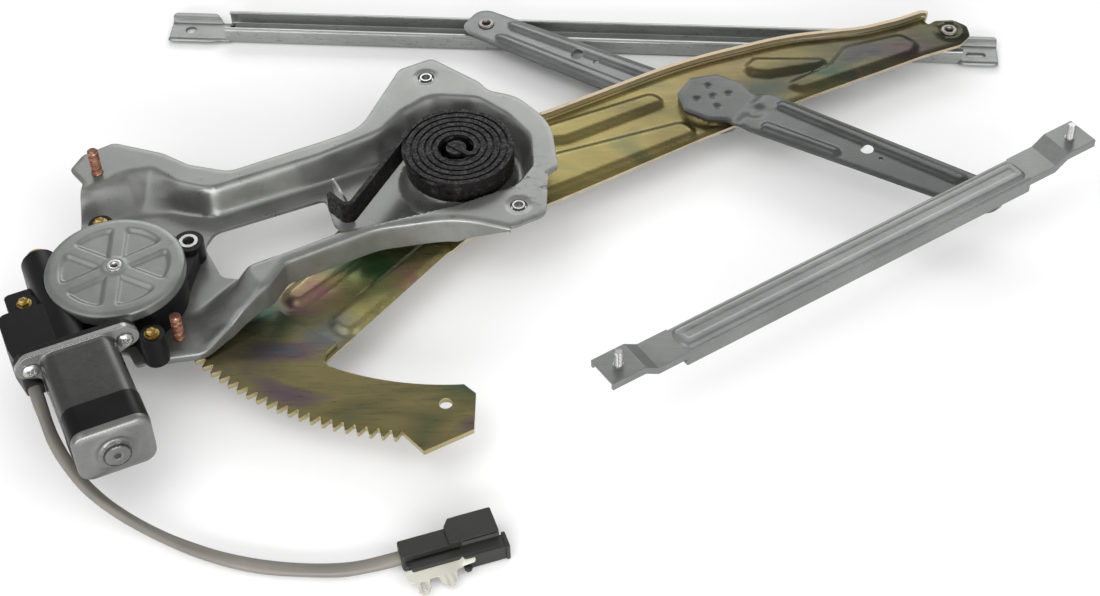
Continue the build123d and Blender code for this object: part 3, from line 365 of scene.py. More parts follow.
slots = {s["node"]: s["material_slot"] for s in frame["record"]["subparts"]}
# The arbor takes the spring's greasy blackened steel; its near-black also stands in for painted shade in the
# hollow at the spring's centre.
special = {"sector_gear": "sector_zinc", "pivot_arbor": "spring_steel",
           "connector_housing": "connector_plastic"}
for name, obj in nodes.items():
    obj.data.materials.clear()
    obj.data.materials.append(finishes[special.get(name, slots[name])])


# Geometry helpers, in millimetres from the main pivot

def at(r, degrees, centre=(0.0, 0.0)):
    """Point at a radius and an angle round a centre."""
    a = math.radians(degrees)
    return (centre[0] + r * math.cos(a), centre[1] + r * math.sin(a))


def circle(r, centre=(0.0, 0.0), count=32):
    return [Vector(at(r, 360.0 * k / count, centre)) for k in range(count)]


def rounded(points, radii, step=1.2):
    """Closed outline with its corners rounded."""
    out = []
    count = len(points)
    for i in range(count):
        r = radii[i] if isinstance(radii, list) else radii
        p, a, b = Vector(points[i]), Vector(points[i - 1]), Vector(points[(i + 1) % count])
        u, v = a - p, b - p
        reach = 0.49 * min(u.length, v.length)
        u.normalize()
        v.normalize()
        half = max(u.angle(v) / 2, 0.02)
        t = min(r / math.tan(half), reach) if half < 1.55 else 0.0
        if t < 0.05:
            out.append(p)
            continue
        r = t * math.tan(half)
        centre = p + (u + v).normalized() * (r / math.sin(half))
        a0, a1 = p + u * t - centre, p + v * t - centre
        start = math.atan2(a0.y, a0.x)
        sweep = (math.atan2(a1.y, a1.x) - start + math.pi) % (2 * math.pi) - math.pi
        steps = max(2, math.ceil(abs(sweep) * r / step))
        for k in range(steps + 1):
            a = start + sweep * k / steps
            out.append(centre + Vector((math.cos(a), math.sin(a))) * r)
    return out


def resample(loop, step):
    """Same closed outline with points no further apart than about the step."""
    out = []
    for a, b in zip(loop, loop[1:] + loop[:1]):
        if (b - a).length < 0.02:
            continue
        n = max(1, round((b - a).length / step))
        out += [a + (b - a) * (k / n) for k in range(n)]
    return out


def distance(points, loop):
    """Signed distance to a closed outline, negative inside."""
    a = np.array([tuple(q) for q in loop], float)
    b = np.roll(a, -1, axis=0)
    ab = b - a
    size = np.maximum((ab ** 2).sum(1), 1e-12)
    rise = np.where(np.abs(ab[:, 1]) < 1e-12, 1e-12, ab[:, 1])
    parts = []
    for p in np.array_split(np.asarray(points, float), max(1, len(points) // 1500)):
        ap = p[:, None, :] - a[None]
        t = np.clip((ap * ab).sum(2) / size, 0, 1)
        d = np.sqrt(((ap - t[..., None] * ab) ** 2).sum(2)).min(1)
        crossing = (a[:, 1] > p[:, None, 1]) != (b[:, 1] > p[:, None, 1])
        hit = a[:, 0] + ab[:, 0] * (p[:, None, 1] - a[:, 1]) / rise
        inside = (crossing & (p[:, None, 0] < hit)).sum(1) % 2 == 1
        parts.append(np.where(inside, -d, d))
    return np.concatenate(parts)


def smooth(t):
    t = np.clip(t, 0, 1)
    return t * t * (3 - 2 * t)


def drawn(p, points, radius, height, slope):
    """Height of a bead drawn up inside an outline, with soft sides."""
    return height * smooth(0.5 - distance(p, rounded(points, radius, 2.0)) / slope)


def net(outline, holes, spacing):
    """Triangles over a blank: its edge, its holes and an even field of points."""
    loops = [resample(loop, spacing) for loop in [outline] + holes]
    points, edges = [], []
    for loop in loops:
        base = len(points)
        points += [tuple(q) for q in loop]
        edges += [(base + i, base + (i + 1) % len(loop)) for i in range(len(loop))]
    low, high = np.min(points, 0), np.max(points, 0)
    rows = np.arange(low[1] + spacing * 0.5, high[1], spacing * 0.87)
    field = []
    for k, y in enumerate(rows):
        xs = np.arange(low[0] + spacing * (0.5 + 0.5 * (k % 2)), high[0], spacing)
        field.append(np.column_stack([xs, np.full(len(xs), y)]))
    field = np.concatenate(field)
    keep = distance(field, loops[0]) < -0.6 * spacing
    for loop in loops[1:]:
        keep &= distance(field, loop) > 0.6 * spacing
    points += [tuple(q) for q in field[keep]]
    result = delaunay_2d_cdt([Vector(q) for q in points], edges, [], 0, 1e-6)
    flat = np.array([tuple(v) for v in result[0]], float)
    tris = np.array([f for f in result[2] if len(f) == 3], int)
    middle = flat[tris].mean(1)
    keep = distance(middle, loops[0]) < 0
    for loop in loops[1:]:
        keep &= distance(middle, loop) > 0
    tris = tris[keep]
    a, b, c = flat[tris[:, 0]], flat[tris[:, 1]], flat[tris[:, 2]]
    area = (b[:, 0] - a[:, 0]) * (c[:, 1] - a[:, 1]) - (b[:, 1] - a[:, 1]) * (c[:, 0] - a[:, 0])
    tris[area < 0] = tris[area < 0][:, ::-1]
    return flat, [tuple(int(i) for i in t) for t in tris]


def open_edges(faces):
    """Edges that only one face has."""
    seen = {}
    for face in faces:
        for u, v in zip(face, face[1:] + face[:1]):
            seen[(u, v)] = True
    return [e for e in seen if (e[1], e[0]) not in seen]


def skirt(verts, faces, test, profile, depth=None):
    """Turns the sheet's edge up or down where the test holds: rows of (out, up)."""
    run = [e for e in open_edges(faces) if test(*verts[e[0]][:2]) and test(*verts[e[1]][:2])]
    normals = {}
    for u, v in run:
        d = Vector(verts[v][:2]) - Vector(verts[u][:2])
        n = Vector((d.y, -d.x)).normalized()
        for k in (u, v):
            normals[k] = normals.get(k, Vector((0, 0))) + n
    before = {k: k for k in normals}
    for out, up in profile:
        now = {}
        for k, n in normals.items():
            n = n.normalized()
            x, y, z = verts[k]
            lift = depth(x, y, up) if depth else up
            now[k] = len(verts)
            verts.append((x + n.x * out, y + n.y * out, z + lift))
        faces += [(before[v], before[u], now[u], now[v]) for u, v in run]
        before = now


def thicken(verts, faces, thickness):
    """Gives an open surface its sheet thickness below: points, faces of both sides, faces of the rim."""
    points = np.array(verts, float)
    normals = np.zeros_like(points)
    for face in faces:
        q = points[list(face)]
        n = np.cross(q[1] - q[0], q[2] - q[0])
        if len(face) == 4:
            n = n + np.cross(q[2] - q[0], q[3] - q[0])
        for k in face:
            normals[k] += n
    normals /= np.maximum(np.linalg.norm(normals, axis=1), 1e-12)[:, None]
    count = len(points)
    below = points - normals * thickness
    rim = [(u, u + count, v + count, v) for u, v in open_edges(faces)]
    under = [tuple(k + count for k in face[::-1]) for face in faces]
    return np.concatenate([points, below]), faces + under, rim


def make(name, verts, faces, finish, body, replaces=None, place=None, sharp=35.0,
         second=None, second_from=None):
    """Mesh piece from points in millimetres, moved by place; faces from second_from on get second."""
    if place is not None:
        verts = [place @ Vector(v) for v in verts]
    mesh = bpy.data.meshes.new(name)
    mesh.from_pydata([tuple(row(v)) for v in verts], [], faces)
    mesh.materials.append(finishes[finish])
    if second is not None:
        mesh.materials.append(finishes[second])
        for k in range(second_from, len(faces)):
            mesh.polygons[k].material_index = 1
    mesh.polygons.foreach_set("use_smooth", [True] * len(mesh.polygons))
    mesh.set_sharp_from_angle(angle=math.radians(sharp))
    mesh.validate()
    obj = bpy.data.objects.new(name, mesh)
    scene.collection.objects.link(obj)
    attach(obj, body)
    if replaces:
        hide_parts(replaces)
    return obj


def sheet(name, outline, holes, height, thickness, spacing, finish, body, replaces=None,
          skirts=(), place=None, edge=None):
    """Pressed sheet over an outline with holes; skirts turn its edges, edge is the cut rim's finish."""
    flat, faces = net(outline, holes, spacing)
    verts = [(x, y, z) for (x, y), z in zip(flat.tolist(), height(flat).tolist())]
    for one in skirts:
        skirt(verts, faces, *one)
    points, body_faces, rim = thicken(verts, faces, thickness)
    return make(name, points.tolist(), body_faces + rim, finish, body, replaces, place,
                38.0, edge, len(body_faces) if edge else None)


def ring_faces(base, rows, count):
    """Faces between rings of points that start at base, with both ends closed."""
    faces = []
    for j in range(base, base + (rows - 1) * count, count):
        for k in range(count):
            m = (k + 1) % count
            faces.append((j + k, j + m, j + count + m, j + count + k))
    last = base + (rows - 1) * count
    return faces + [tuple(range(base, base + count))[::-1], tuple(range(last, last + count))]


def lathe(name, rows, finish, body, replaces=None, places=((0.0, 0.0, 0.0),), place=None, count=36,
          sharp=35.0):
    """Turned piece from (radius, height) rows, once at each of the places; a radius may follow the turn."""
    verts, faces = [], []
    for x, y, z in places:
        faces += ring_faces(len(verts), len(rows), count)
        for r, height in rows:
            for k in range(count):
                a = 2 * math.pi * k / count
                q = r(a) if callable(r) else r
                verts.append((x + q * math.cos(a), y + q * math.sin(a), z + height))
    return make(name, verts, faces, finish, body, replaces, place, sharp)


def near(points, tolerance):
    """Test for places within the tolerance of a line of points."""
    line = [Vector(q) for q in points]

    def test(x, y):
        p = Vector((x, y))
        for a, b in zip(line, line[1:]):
            ab = b - a
            t = min(max((p - a).dot(ab) / ab.length_squared, 0.0), 1.0)
            if (p - a - ab * t).length < tolerance:
                return True
        return False
    return test


def shifted(x, y, z=0.0, degrees=0.0):
    """Placing matrix: a move in millimetres after a turn in the plan."""
    return Matrix.Translation((x, y, z)) @ Matrix.Rotation(math.radians(degrees), 4, "Z")


C, A, B, D = (145.5, 68.7), (291.2, 126.4), (15.4, 156.1), (289.1, -27.8)
wheel = at(194.0, -154.8)
motor = shifted(*wheel, 0.0, -67.0)


# Lift arm: drawn beads, rolled edge and turned-up rear rim

arm_outline = [
    (-82.0, -140.0), (4.0, -35.5), (66.6, -1.0), (138.7, 39.5), (202.3, 72.0),
    (273.5, 105.2), (296.0, 113.5), (303.0, 121.5), (302.5, 131.0), (295.5, 137.0),
    (284.5, 137.0), (280.0, 133.5), (277.5, 138.0), (262.0, 131.3), (240.0, 124.5),
    (193.7, 119.6), (132.5, 100.7), (48.5, 57.5), (12.0, 48.0), (-30.0, 38.0),
    (-63.2, -22.1), (-126.0, -108.0), (-112.0, -126.0),
]
arm_radii = [6, 30, 200, 300, 200, 60, 8, 5, 5, 5, 4, 1, 1, 40, 60, 150, 300, 60, 20, 30, 40, 14, 14]
arm_beads = [
    ([(44.0, 50.0), (30.0, 38.0), (60.0, 39.5), (119.0, 69.0), (111.0, 77.5)], 5.0, 2.4),
    ([(40.0, 24.0), (34.0, -12.0), (136.0, 41.0), (127.0, 51.5)], 6.0, 2.4),
    ([(-94.0, -77.0), (-84.0, -84.0), (-50.0, -48.0), (-62.0, -38.0)], 6.0, 2.4),
    ([(-68.0, -97.0), (-56.5, -107.0), (-1.0, -42.0), (-18.0, -38.0)], 6.0, 2.4),
    ([(167.4, 99.0), (173.0, 105.8), (212.7, 103.2), (214.5, 99.5), (210.0, 96.1), (179.7, 90.7),
      (170.3, 92.5)], 3.0, 2.4),
    ([(217.0, 98.6), (189.0, 81.7), (198.0, 76.0), (266.3, 105.8), (270.9, 114.1), (261.4, 123.5),
      (226.9, 113.8)], 5.0, 1.6),
]
arm_edge = rounded(arm_outline, arm_radii)


def arm_height(p):
    z = np.full(len(p), -3.0)
    for points, radius, height in arm_beads:
        z = z + drawn(p, points, radius, height, 4.0)
    z = z + 2.9 * smooth(0.5 - (np.hypot(p[:, 0] - C[0], p[:, 1] - C[1]) - 18.6) / 3.0)
    z = z - 0.6 * smooth(1.0 + distance(p, arm_edge) / 3.0)
    r = np.hypot(p[:, 0] - A[0], p[:, 1] - A[1])
    z = z + 0.9 * smooth(0.5 - (np.abs(r - 7.6) - 1.2) / 1.6)
    r = np.hypot(p[:, 0], p[:, 1])
    return z - 0.4 * smooth(0.5 - (r - 12.0) / 2.0)


rear_rim = [(49.0, 57.8), (132.5, 100.7), (193.7, 119.6), (240.0, 124.5), (262.0, 131.3), (277.0, 137.5)]
turned_up = [(0.7, 0.2), (1.3, 0.7), (1.7, 1.5), (1.8, 2.8), (1.8, 4.4)]
sheet("arm_pressing", arm_edge, [circle(8.1), circle(9.4, C), circle(3.6, A, 20)], arm_height, 2.5,
      2.0, "yellow_zinc", "lift_arm", "lift_arm",
      [(near(rear_rim, 2.2), turned_up)], None, "cut_steel")


# Cross arm: lower half to the glass rail, upper half with its stepped hub to the door rail

def edge_roll(p, loop, drop):
    return -drop * smooth(1.0 + distance(p, loop) / 2.0)


reach_b = math.dist(C, B)
low_edge = rounded([(-19, -17), (16, -17), (reach_b + 12.0, -12.5), (reach_b + 12.0, 12.5),
                    (16, 17), (-19, 17)], [14, 40, 9, 9, 40, 14])


def low_height(p):
    z = np.full(len(p), -8.3)
    for side in (-1, 1):
        ridge = [(26.0, side * 5.5), (reach_b - 16.0, side * 4.0), (reach_b - 10.0, side * 7.0),
                 (reach_b - 16.0, side * 9.5), (26.0, side * 13.5)]
        z = z + drawn(p, ridge, 2.5, 1.8, 3.2)
    return z + edge_roll(p, low_edge, 0.4)


turn_b = math.degrees(math.atan2(B[1] - C[1], B[0] - C[0]))
sheet("cross_arm_low", low_edge, [circle(3.7, (93.5, -2.5), 24), circle(1.8, (80.4, -2.6), 14),
                                  circle(3.6, (reach_b, 0.0), 20), circle(9.3)],
      low_height, 2.0, 1.6, "arm_zinc", "aux_arm", "aux_low_half",
      (), shifted(*C, 0.0, turn_b))

reach_d = math.dist(C, D)
HUB_RADIUS = 20.5
hub = [at(HUB_RADIUS, 67.5 + 45.0 * k) for k in range(6)]
high_edge = rounded(hub + [(17.0, -14.0), (32.0, -17.0), (reach_d + 6.0, -12.5), (reach_d + 6.0, 12.5),
                           (32.0, 17.0), (17.0, 14.0)],
                    [1.5] * 6 + [6, 14, 11, 11, 14, 6])


def high_height(p):
    z = 2.0 + 2.0 * smooth((p[:, 0] - 19.5) / 8.0)
    rear = [(37.0, 7.5), (reach_d - 22.0, 1.5), (reach_d - 17.0, 4.5), (reach_d - 20.0, 8.5), (37.0, 13.5)]
    front = [(38.0, -13.5), (84.0, -12.0), (86.0, -9.0), (83.0, -6.8), (38.0, -7.2)]
    z = z + drawn(p, rear, 2.5, 1.7, 3.2) + drawn(p, front, 2.5, 1.7, 3.0)
    z = z - 1.0 * smooth(0.5 - (np.hypot(p[:, 0] - 28.0, p[:, 1] + 1.0) - 5.0) / 6.0)
    for spot in [(0.0, 0.0)] + [at(9.5, 45.0 + 90.0 * k) for k in range(4)]:
        z = z - 0.9 * smooth(0.5 - (np.hypot(p[:, 0] - spot[0], p[:, 1] - spot[1]) - 1.7) / 1.0)
    return z + edge_roll(p, high_edge, 0.4)


turn_d = math.degrees(math.atan2(D[1] - C[1], D[0] - C[0]))
# The upper half takes the darker copy of the arm's zinc, painted shade.
sheet("cross_arm_high", high_edge, [circle(3.7, (97.2, 1.5), 24), circle(1.3, (107.2, -1.5), 12),
                                    circle(3.6, (reach_d, 0.0), 20)],
      high_height, 2.0, 1.4, "arm_zinc_painted_shade", "aux_arm", "aux_high_half",
      (), shifted(*C, 0.0, turn_d))


# Back plate: flange, drawn pan, raised pad, front web and the pointed tongue

plate_outline = [
    (-211.5, 3.0), (-206.0, 15.0), (-190.0, 24.5), (-161.7, 14.2), (-146.6, 4.0),
    (-124.0, -2.5), (-75.6, 18.8), (-54.0, 29.0), (-33.5, 79.0), (-15.0, 88.0),
    (12.0, 65.5), (17.3, 57.5), (33.0, 52.0), (52.0, 28.0), (55.0, -9.0), (49.5, -14.0),
    (47.6, -46.0), (29.0, -55.0), (0.0, -44.5), (-42.0, -50.5), (-90.0, -74.0),
    (-98.0, -90.5), (-130.0, -121.0), (-152.0, -124.0), (-163.0, -131.0),
    (-168.0, -121.0), (-200.0, -113.0), (-226.0, -113.0), (-231.0, -92.0),
    (-206.0, -50.0), (-203.0, -8.0),
]
plate_radii = [4, 6, 6, 20, 10, 12, 60, 25, 7, 5, 9, 10, 26, 40, 5, 2, 7, 7, 60, 40, 8,
               12, 12, 20, 3, 3, 10, 8, 12, 30, 3]
pan_rim = [
    (-236.0, -26.0), (-200.0, -10.5), (-182.0, 2.0), (-166.0, 5.0), (-151.0, -9.0),
    (-134.0, -15.5), (-75.0, 9.0), (-43.0, 28.0), (-33.0, 43.0), (-16.0, 57.0),
    (12.0, 53.0), (29.0, 37.0), (41.5, 18.0), (42.0, -8.0), (32.0, -23.0), (0.0, -36.5),
    (-41.0, -49.0), (-62.0, -55.0), (-108.0, -78.0), (-104.0, -85.0), (-98.0, -91.0),
    (-84.0, -112.0), (-150.0, -170.0), (-262.0, -120.0),
]
pan_foot = [
    (-236.0, -46.0), (-203.0, -28.0), (-177.0, -23.0), (-156.0, -18.0), (-147.0, -20.5),
    (-132.0, -23.0), (-82.0, -2.0), (-42.0, 15.0), (-27.0, 30.0), (-12.0, 43.0),
    (8.0, 41.0), (22.0, 29.0), (33.5, 14.0), (35.5, -5.0), (28.0, -19.0), (-1.0, -34.5),
    (-43.0, -43.0), (-66.0, -48.0), (-114.0, -68.0), (-143.0, -96.0), (-131.0, -121.0),
    (-117.0, -140.0), (-152.0, -168.0), (-260.0, -118.0),
]
bends = [5, 8, 12, 8, 8, 14, 30, 12, 12, 16, 16, 18, 18, 10, 9, 20, 12, 8, 3, 3, 3, 3, 3, 3]
rim_loop, foot_loop = rounded(pan_rim, bends, 2.0), rounded(pan_foot, bends, 2.0)
plate_edge = rounded(plate_outline, plate_radii)
nut_points = [(-18.0, 71.0), (33.0, -38.0)]


def plate_height(p):
    inner, outer = distance(p, foot_loop), -distance(p, rim_loop)
    t = np.clip(inner, 0, None) / np.maximum(np.clip(inner, 0, None) + np.clip(outer, 0, None), 1e-6)
    t = np.where(inner <= 0, 0.0, np.where(outer <= 0, 1.0, t))
    wall = 6.0 + 16.0 * (0.55 * smooth(t) + 0.45 * smooth((t - 0.08) / 0.84))
    pad = 6.0 + 11.0 * smooth((33.0 - np.hypot(p[:, 0], p[:, 1])) / 6.0)
    z = np.maximum(wall, pad)
    z = z + edge_roll(p, plate_edge, 0.35)
    for x, y in nut_points:
        z = z - 0.5 * smooth(0.5 - (np.hypot(p[:, 0] - x, p[:, 1] - y) - 6.4) / 1.2)
    return z


hook_bend, hook_tip = Vector((-57.0, -45.0)), Vector((-67.6, -33.0))
along = (hook_tip - hook_bend).normalized()
across = Vector((along.y, -along.x))


def hook_seat(s, t):
    q = hook_bend + along * s + across * (1.3 + 0.3 + t)
    return (q.x, q.y)


opening = rounded([(-73.0, -10.5), (-131.0, -33.5), (-136.0, -45.0), (-124.5, -69.0), (-112.0, -71.0),
                   (-95.0, -71.0), (-53.0, -50.0), hook_seat(5.0, 0.0), hook_seat(17.0, 0.0)],
                  [3, 9, 9, 6, 6, 20, 2, 1, 1])
front_edge = [(26.0, -54.0), (0.0, -44.5), (-42.0, -50.5), (-90.0, -74.0), (-98.0, -90.5), (-130.0, -121.0),
              (-150.0, -123.7)]
turned_down = [(0.5, -0.15), (1.0, -0.55), (1.35, -1.2), (1.5, -2.2), (1.5, -4.0), (1.5, -8.0),
               (1.5, -12.0), (1.5, -16.0)]


def web_depth(x, y, up):
    full = 16.0
    if x > 0:
        full = 16.0 - 13.0 * x / 26.0
    if x < -96:
        full = max(4.5, 16.0 - (-96 - x) * 0.35)
    return up if up > -2.5 else -2.2 + (up + 2.2) / 13.8 * (full - 2.2)


plate_holes = [circle(10.6), opening, circle(4.6, nut_points[0], 24), circle(4.6, nut_points[1], 24),
               circle(11.9, wheel)]
sheet("plate_pressing", plate_edge, plate_holes, plate_height, 2.0, 1.25, "plate_zinc",
      "base", "back_plate", [(near(front_edge, 2.6), turned_down, web_depth)])


def tongue_height(p):
    return 1.2 * smooth(p[:, 1] / 18.0) - 0.5 * smooth(0.5 - np.abs(p[:, 0] - 0.55 * p[:, 1]) / 2.0)


tongue_edge = rounded([(-4.5, -3.0), (4.5, -3.0), (9.5, 5.0), (12.5, 11.0), (13.4, 16.2), (11.6, 15.4),
                       (5.0, 10.5), (-1.5, 5.0)], [0.5, 0.5, 5, 5, 0.5, 0.5, 5, 5])
upright = Matrix(((along.x, 0, across.x, -58.5), (along.y, 0, across.y, -26.0), (0, 1, 0, 9.5), (0, 0, 0, 1)))
sheet("hook_tongue", tongue_edge, [], tongue_height, 1.4, 0.9, "tongue_steel", "base",
      None, (), upright)


# Motor cable's route

route = [
    (-209.6, -151.5, 15.5), (-205.0, -163.0, 12.5), (-196.5, -182.5, 3.5),
    (-178.0, -203.5, -8.5), (-143.5, -224.5, -16.0), (-103.0, -242.0, -17.2),
    (-62.0, -247.0, -17.2), (-43.0, -245.5, -16.3), (-28.5, -241.1, -16.3),
]


# Glass rail: folded section with its narrow lips, the necked left tab and the slotted right tab

rail_place = shifted(*B, -20.8, -6.147)
section = rounded([(-6.75, 10.0), (-9.75, 10.0), (-9.75, 0.0), (9.75, 0.0), (9.75, 10.0), (6.75, 10.0),
                   (6.75, 8.5), (8.25, 8.5), (8.25, 1.5), (-8.25, 1.5), (-8.25, 8.5), (-6.75, 8.5)],
                  [0.5, 1.6, 1.6, 1.6, 1.6, 0.5, 0.3, 0.4, 0.6, 0.6, 0.4, 0.3], 0.4)
stations = np.linspace(-159.9, 286.1, 60).tolist()
verts = [(x, q.x, q.y) for x in stations for q in section]
faces = [face[::-1] for face in ring_faces(0, len(stations), len(section))]
make("glass_channel", verts, faces, "lip_zinc", "glass_rail", "glass_rail", rail_place, 40.0)
left_tab = rounded([(-195.9, -11.5), (-168.0, -11.5), (-163.0, -9.7), (-157.0, -9.7), (-157.0, 6.5),
                    (-165.0, 6.5), (-169.0, 12.0), (-195.9, 12.0)], [2.5, 3, 2, 0.5, 0.5, 3, 3, 2.5], 0.8)
right_tab = rounded([(284.0, -9.7), (288.0, -11.5), (307.6, -11.5), (307.6, 11.5), (288.0, 11.5),
                     (284.0, 9.7)], [0.5, 2, 2.5, 2.5, 2, 0.5], 0.8)
tab_slot = rounded([(289.2, -4.3), (300.7, -4.3), (300.7, 0.3), (289.2, 0.3)], 2.2, 0.6)


def tab_height(p):
    back, front = smooth((p[:, 1] - 6.0) / 2.5), smooth((-p[:, 1] - 8.6) / 2.2)
    return 1.5 + 3.4 * back + 1.6 * front


for name, loop, hole in (("glass_tab_left", left_tab, circle(3.3, (-183.7, -0.5), 24)),
                         ("glass_tab_right", right_tab, tab_slot)):
    sheet(name, loop, [hole], tab_height, 1.5, 1.4, "rail_zinc", "glass_rail", None,
          (), rail_place)


# Door rail: the pressed bead along its top

DOOR_RAIL_ANGLE, DOOR_RAIL_LEAD, DOOR_RAIL_BOTTOM = 31.44, 96.0, 6.6
lower_place = shifted(*at(-DOOR_RAIL_LEAD, DOOR_RAIL_ANGLE, D), DOOR_RAIL_BOTTOM, DOOR_RAIL_ANGLE)
bead_edge = rounded([(-114.0, -8.2), (114.0, -8.2), (114.0, 8.2), (-114.0, 8.2)], 5.0)


def bead_height(p):
    d = distance(p, bead_edge)
    return 9.75 + 1.65 * smooth((-d - 0.5) / 1.8) - 0.35 * smooth((-d - 5.6) / 1.5)


sheet("lower_rail_bead", bead_edge, [], bead_height, 0.8, 1.1, "rail_zinc", "lower_rail",
      None, (), lower_place)


# Gear sector: its end behind the plate keeps clear of the window

CLEAR_RADIUS = 152.0  # in the quarter beyond this corner
CORNER_X, CORNER_Y = -95.0, -92.0
source = nodes["sector_gear"].data
verts = []
for v in source.vertices:
    x, y, z = plan(v.co)
    r = math.hypot(x, y)
    if x < CORNER_X and y > CORNER_Y and r < CLEAR_RADIUS:
        x, y = x * CLEAR_RADIUS / r, y * CLEAR_RADIUS / r
    verts.append((x, y, z))
make("sector_plate", verts, [tuple(f.vertices) for f in source.polygons], "sector_zinc", "lift_arm",
     "sector_gear", None, 30.0)


# Gear cover: pressed disc with six panels between its spokes, and its hollow rivet

def cover_height(p):
    r = np.hypot(p[:, 0], p[:, 1])
    a = (np.degrees(np.arctan2(p[:, 1], p[:, 0])) - 31.0) % 60.0
    from_spoke = r * np.sin(np.radians(np.minimum(a, 60.0 - a)))
    outer, sides = r - 27.8, 4.0 - from_spoke
    d = np.maximum(outer, sides)
    blend_in = np.clip(2.5 - np.abs(outer - sides), 0, None) ** 2 / 10.0
    z = 31.0 - 1.5 * smooth(0.5 - (d + blend_in) / 2.0)
    z = z - 0.35 * smooth((r - 33.0) / 2.4)
    return z + 0.35 * smooth(0.5 - (np.abs(r - 5.2) - 1.2) / 1.4)


cover_skirt = [(0.5, -0.12), (1.0, -0.45), (1.3, -1.0), (1.4, -1.8), (1.4, -6.0)]
sheet("cover_pressing", circle(34.85, (0.0, 0.0), 180), [circle(2.4, (0, 0), 20)], cover_height, 1.2, 1.0,
      "cover_zinc", "base", "gear_cover",
      [(lambda x, y: math.hypot(x, y) > 30.0, cover_skirt)], shifted(*wheel))
eyelet = [(1.3, 20.0), (2.4, 20.0), (2.4, 30.9), (4.1, 31.0), (4.3, 31.4), (3.9, 31.9), (3.0, 32.1),
          (2.1, 31.9), (1.6, 31.2), (1.3, 28.0)]
lathe("cover_eyelet", eyelet, "bright_steel", "base", "cover_rivet", place=shifted(*wheel))


# Roller rivets with rolled, hollow heads

def rolled_rivet(name, node, body, point, top):
    low = -19.0
    rows = [(5.0, low), (5.0, low + 1.2), (3.5, low + 1.2), (3.5, top), (4.6, top), (4.9, top + 0.45),
            (4.5, top + 1.0), (3.6, top + 1.25), (2.7, top + 1.0), (2.1, top + 0.2), (1.9, top - 2.0)]
    lathe(name, rows, "dark_rivet", body, node, place=shifted(*point))


rolled_rivet("arm_rivet", "arm_roller_pin", "lift_arm", A, -3.0)
rolled_rivet("cross_arm_rivet", "aux_roller_pin", "aux_arm", B, -8.3)


# Threaded studs with thread lock

def stud(name, finish, node, body, places, r, pitch, length, foot_r):
    """Rolled thread on a plain foot, all the studs of one node in one mesh."""
    def ridge(height):
        def radius(a):
            f = (height / pitch - a / (2 * math.pi)) % 1.0
            return r - 0.55 * pitch * (1.0 - abs(2.0 * f - 1.0))
        return radius, height
    rows = [(foot_r, -3.2), (foot_r, -2.0), (r + 0.4, -2.0), (r + 0.4, 0.05), (r, 0.1)]
    rows += [ridge(0.6 + k * pitch / 6.0) for k in range(int((length - 0.9) / (pitch / 6.0)))]
    rows += [(r - 0.75, length)]
    lathe(name, rows, finish, body, node, places, None, 28, 30.0)


stud("plate_stud_threads", "stud_copper", "plate_studs", "base", [(-196.0, 0.0, 22.0), (-143.0, -111.0, 6.0)],
     3.0, 1.0, 16.0, 5.0)
RAIL_STUD_X, RAIL_STUD_Z = 148.7, 15.0
stud("rail_stud_threads", "bright_steel", "lower_rail_studs", "lower_rail",
     [lower_place @ Vector((s * RAIL_STUD_X, 0.0, RAIL_STUD_Z)) for s in (-1, 1)], 2.5, 0.8, 9.0, 4.5)


# Screws: cross-recessed pan heads on the motor, small flanged heads in the ears

def pan_head(name, node, places, finish, body, r):
    def height(p):
        x, y = np.abs(p[:, 0]), np.abs(p[:, 1])
        q = np.hypot(x, y)
        z = 2.5 * np.sqrt(np.clip(1.0 - (q / (r * 1.12)) ** 2, 0.05, 1)) - 0.2
        cross = np.minimum(np.maximum(x - 0.5, y - 2.3), np.maximum(y - 0.5, x - 2.3))
        return z - 1.5 * smooth(0.5 - cross / 0.6) * smooth((2.6 - q) / 1.0)
    flat, tris = net(circle(r, (0, 0), 40), [], 0.32)
    top = [(x, y, z) for (x, y), z in zip(flat.tolist(), height(flat).tolist())]
    skirt(top, tris, lambda x, y: math.hypot(x, y) > r - 0.2, [(0.0, -0.7)])
    verts, faces = [], []
    for place in places:
        faces += [tuple(len(verts) + k for k in f) for f in tris]
        verts += [place @ Vector(v) for v in top]
    make(name, verts, faces, finish, body, node, None, 40.0)


AXIS_Y, AXIS_Z = -33.5, 20.0  # the armature's axis beside the worm wheel
EAR_REACH = 48.5
facing_out = Matrix.Rotation(math.radians(90), 4, "Y")
shaft_frame = motor @ Matrix.Translation((0.0, AXIS_Y, AXIS_Z)) @ facing_out
pan_head("can_screw_heads", "can_screws",
         [motor @ Matrix.Translation((50.0, AXIS_Y + s * 24.0, 28.0)) @ facing_out
          @ Matrix.Rotation(0.5 * s, 4, "Z") for s in (-1, 1)], "bright_steel", "base", 4.2)


def hexagon(q):
    """Radius of a hexagon's outline as it turns."""
    return lambda a: q / math.cos((a + math.pi / 6) % (math.pi / 3) - math.pi / 6) * 0.93


screw = [(2.35, -18.0), (2.35, -0.05), (3.9, 0.0), (3.9, 0.5), (hexagon(3.0), 0.6), (hexagon(3.0), 2.1),
         (hexagon(2.3), 2.5), (1.6, 2.1)]
ears = [motor @ Vector((*at(EAR_REACH, a), z)) for a, z in ((175.0, 18.0), (269.0, 24.0), (5.0, 24.0))]
lathe("ear_screws", screw, "gold_steel", "base", "mount_screws", ears, None, 24, 30.0)


# Motor can's drawn end plate with its bearing boss

end_loop = rounded([(-15.2, -18.7), (15.2, -18.7), (15.2, 18.7), (-15.2, 18.7)], 6.5, 1.0)


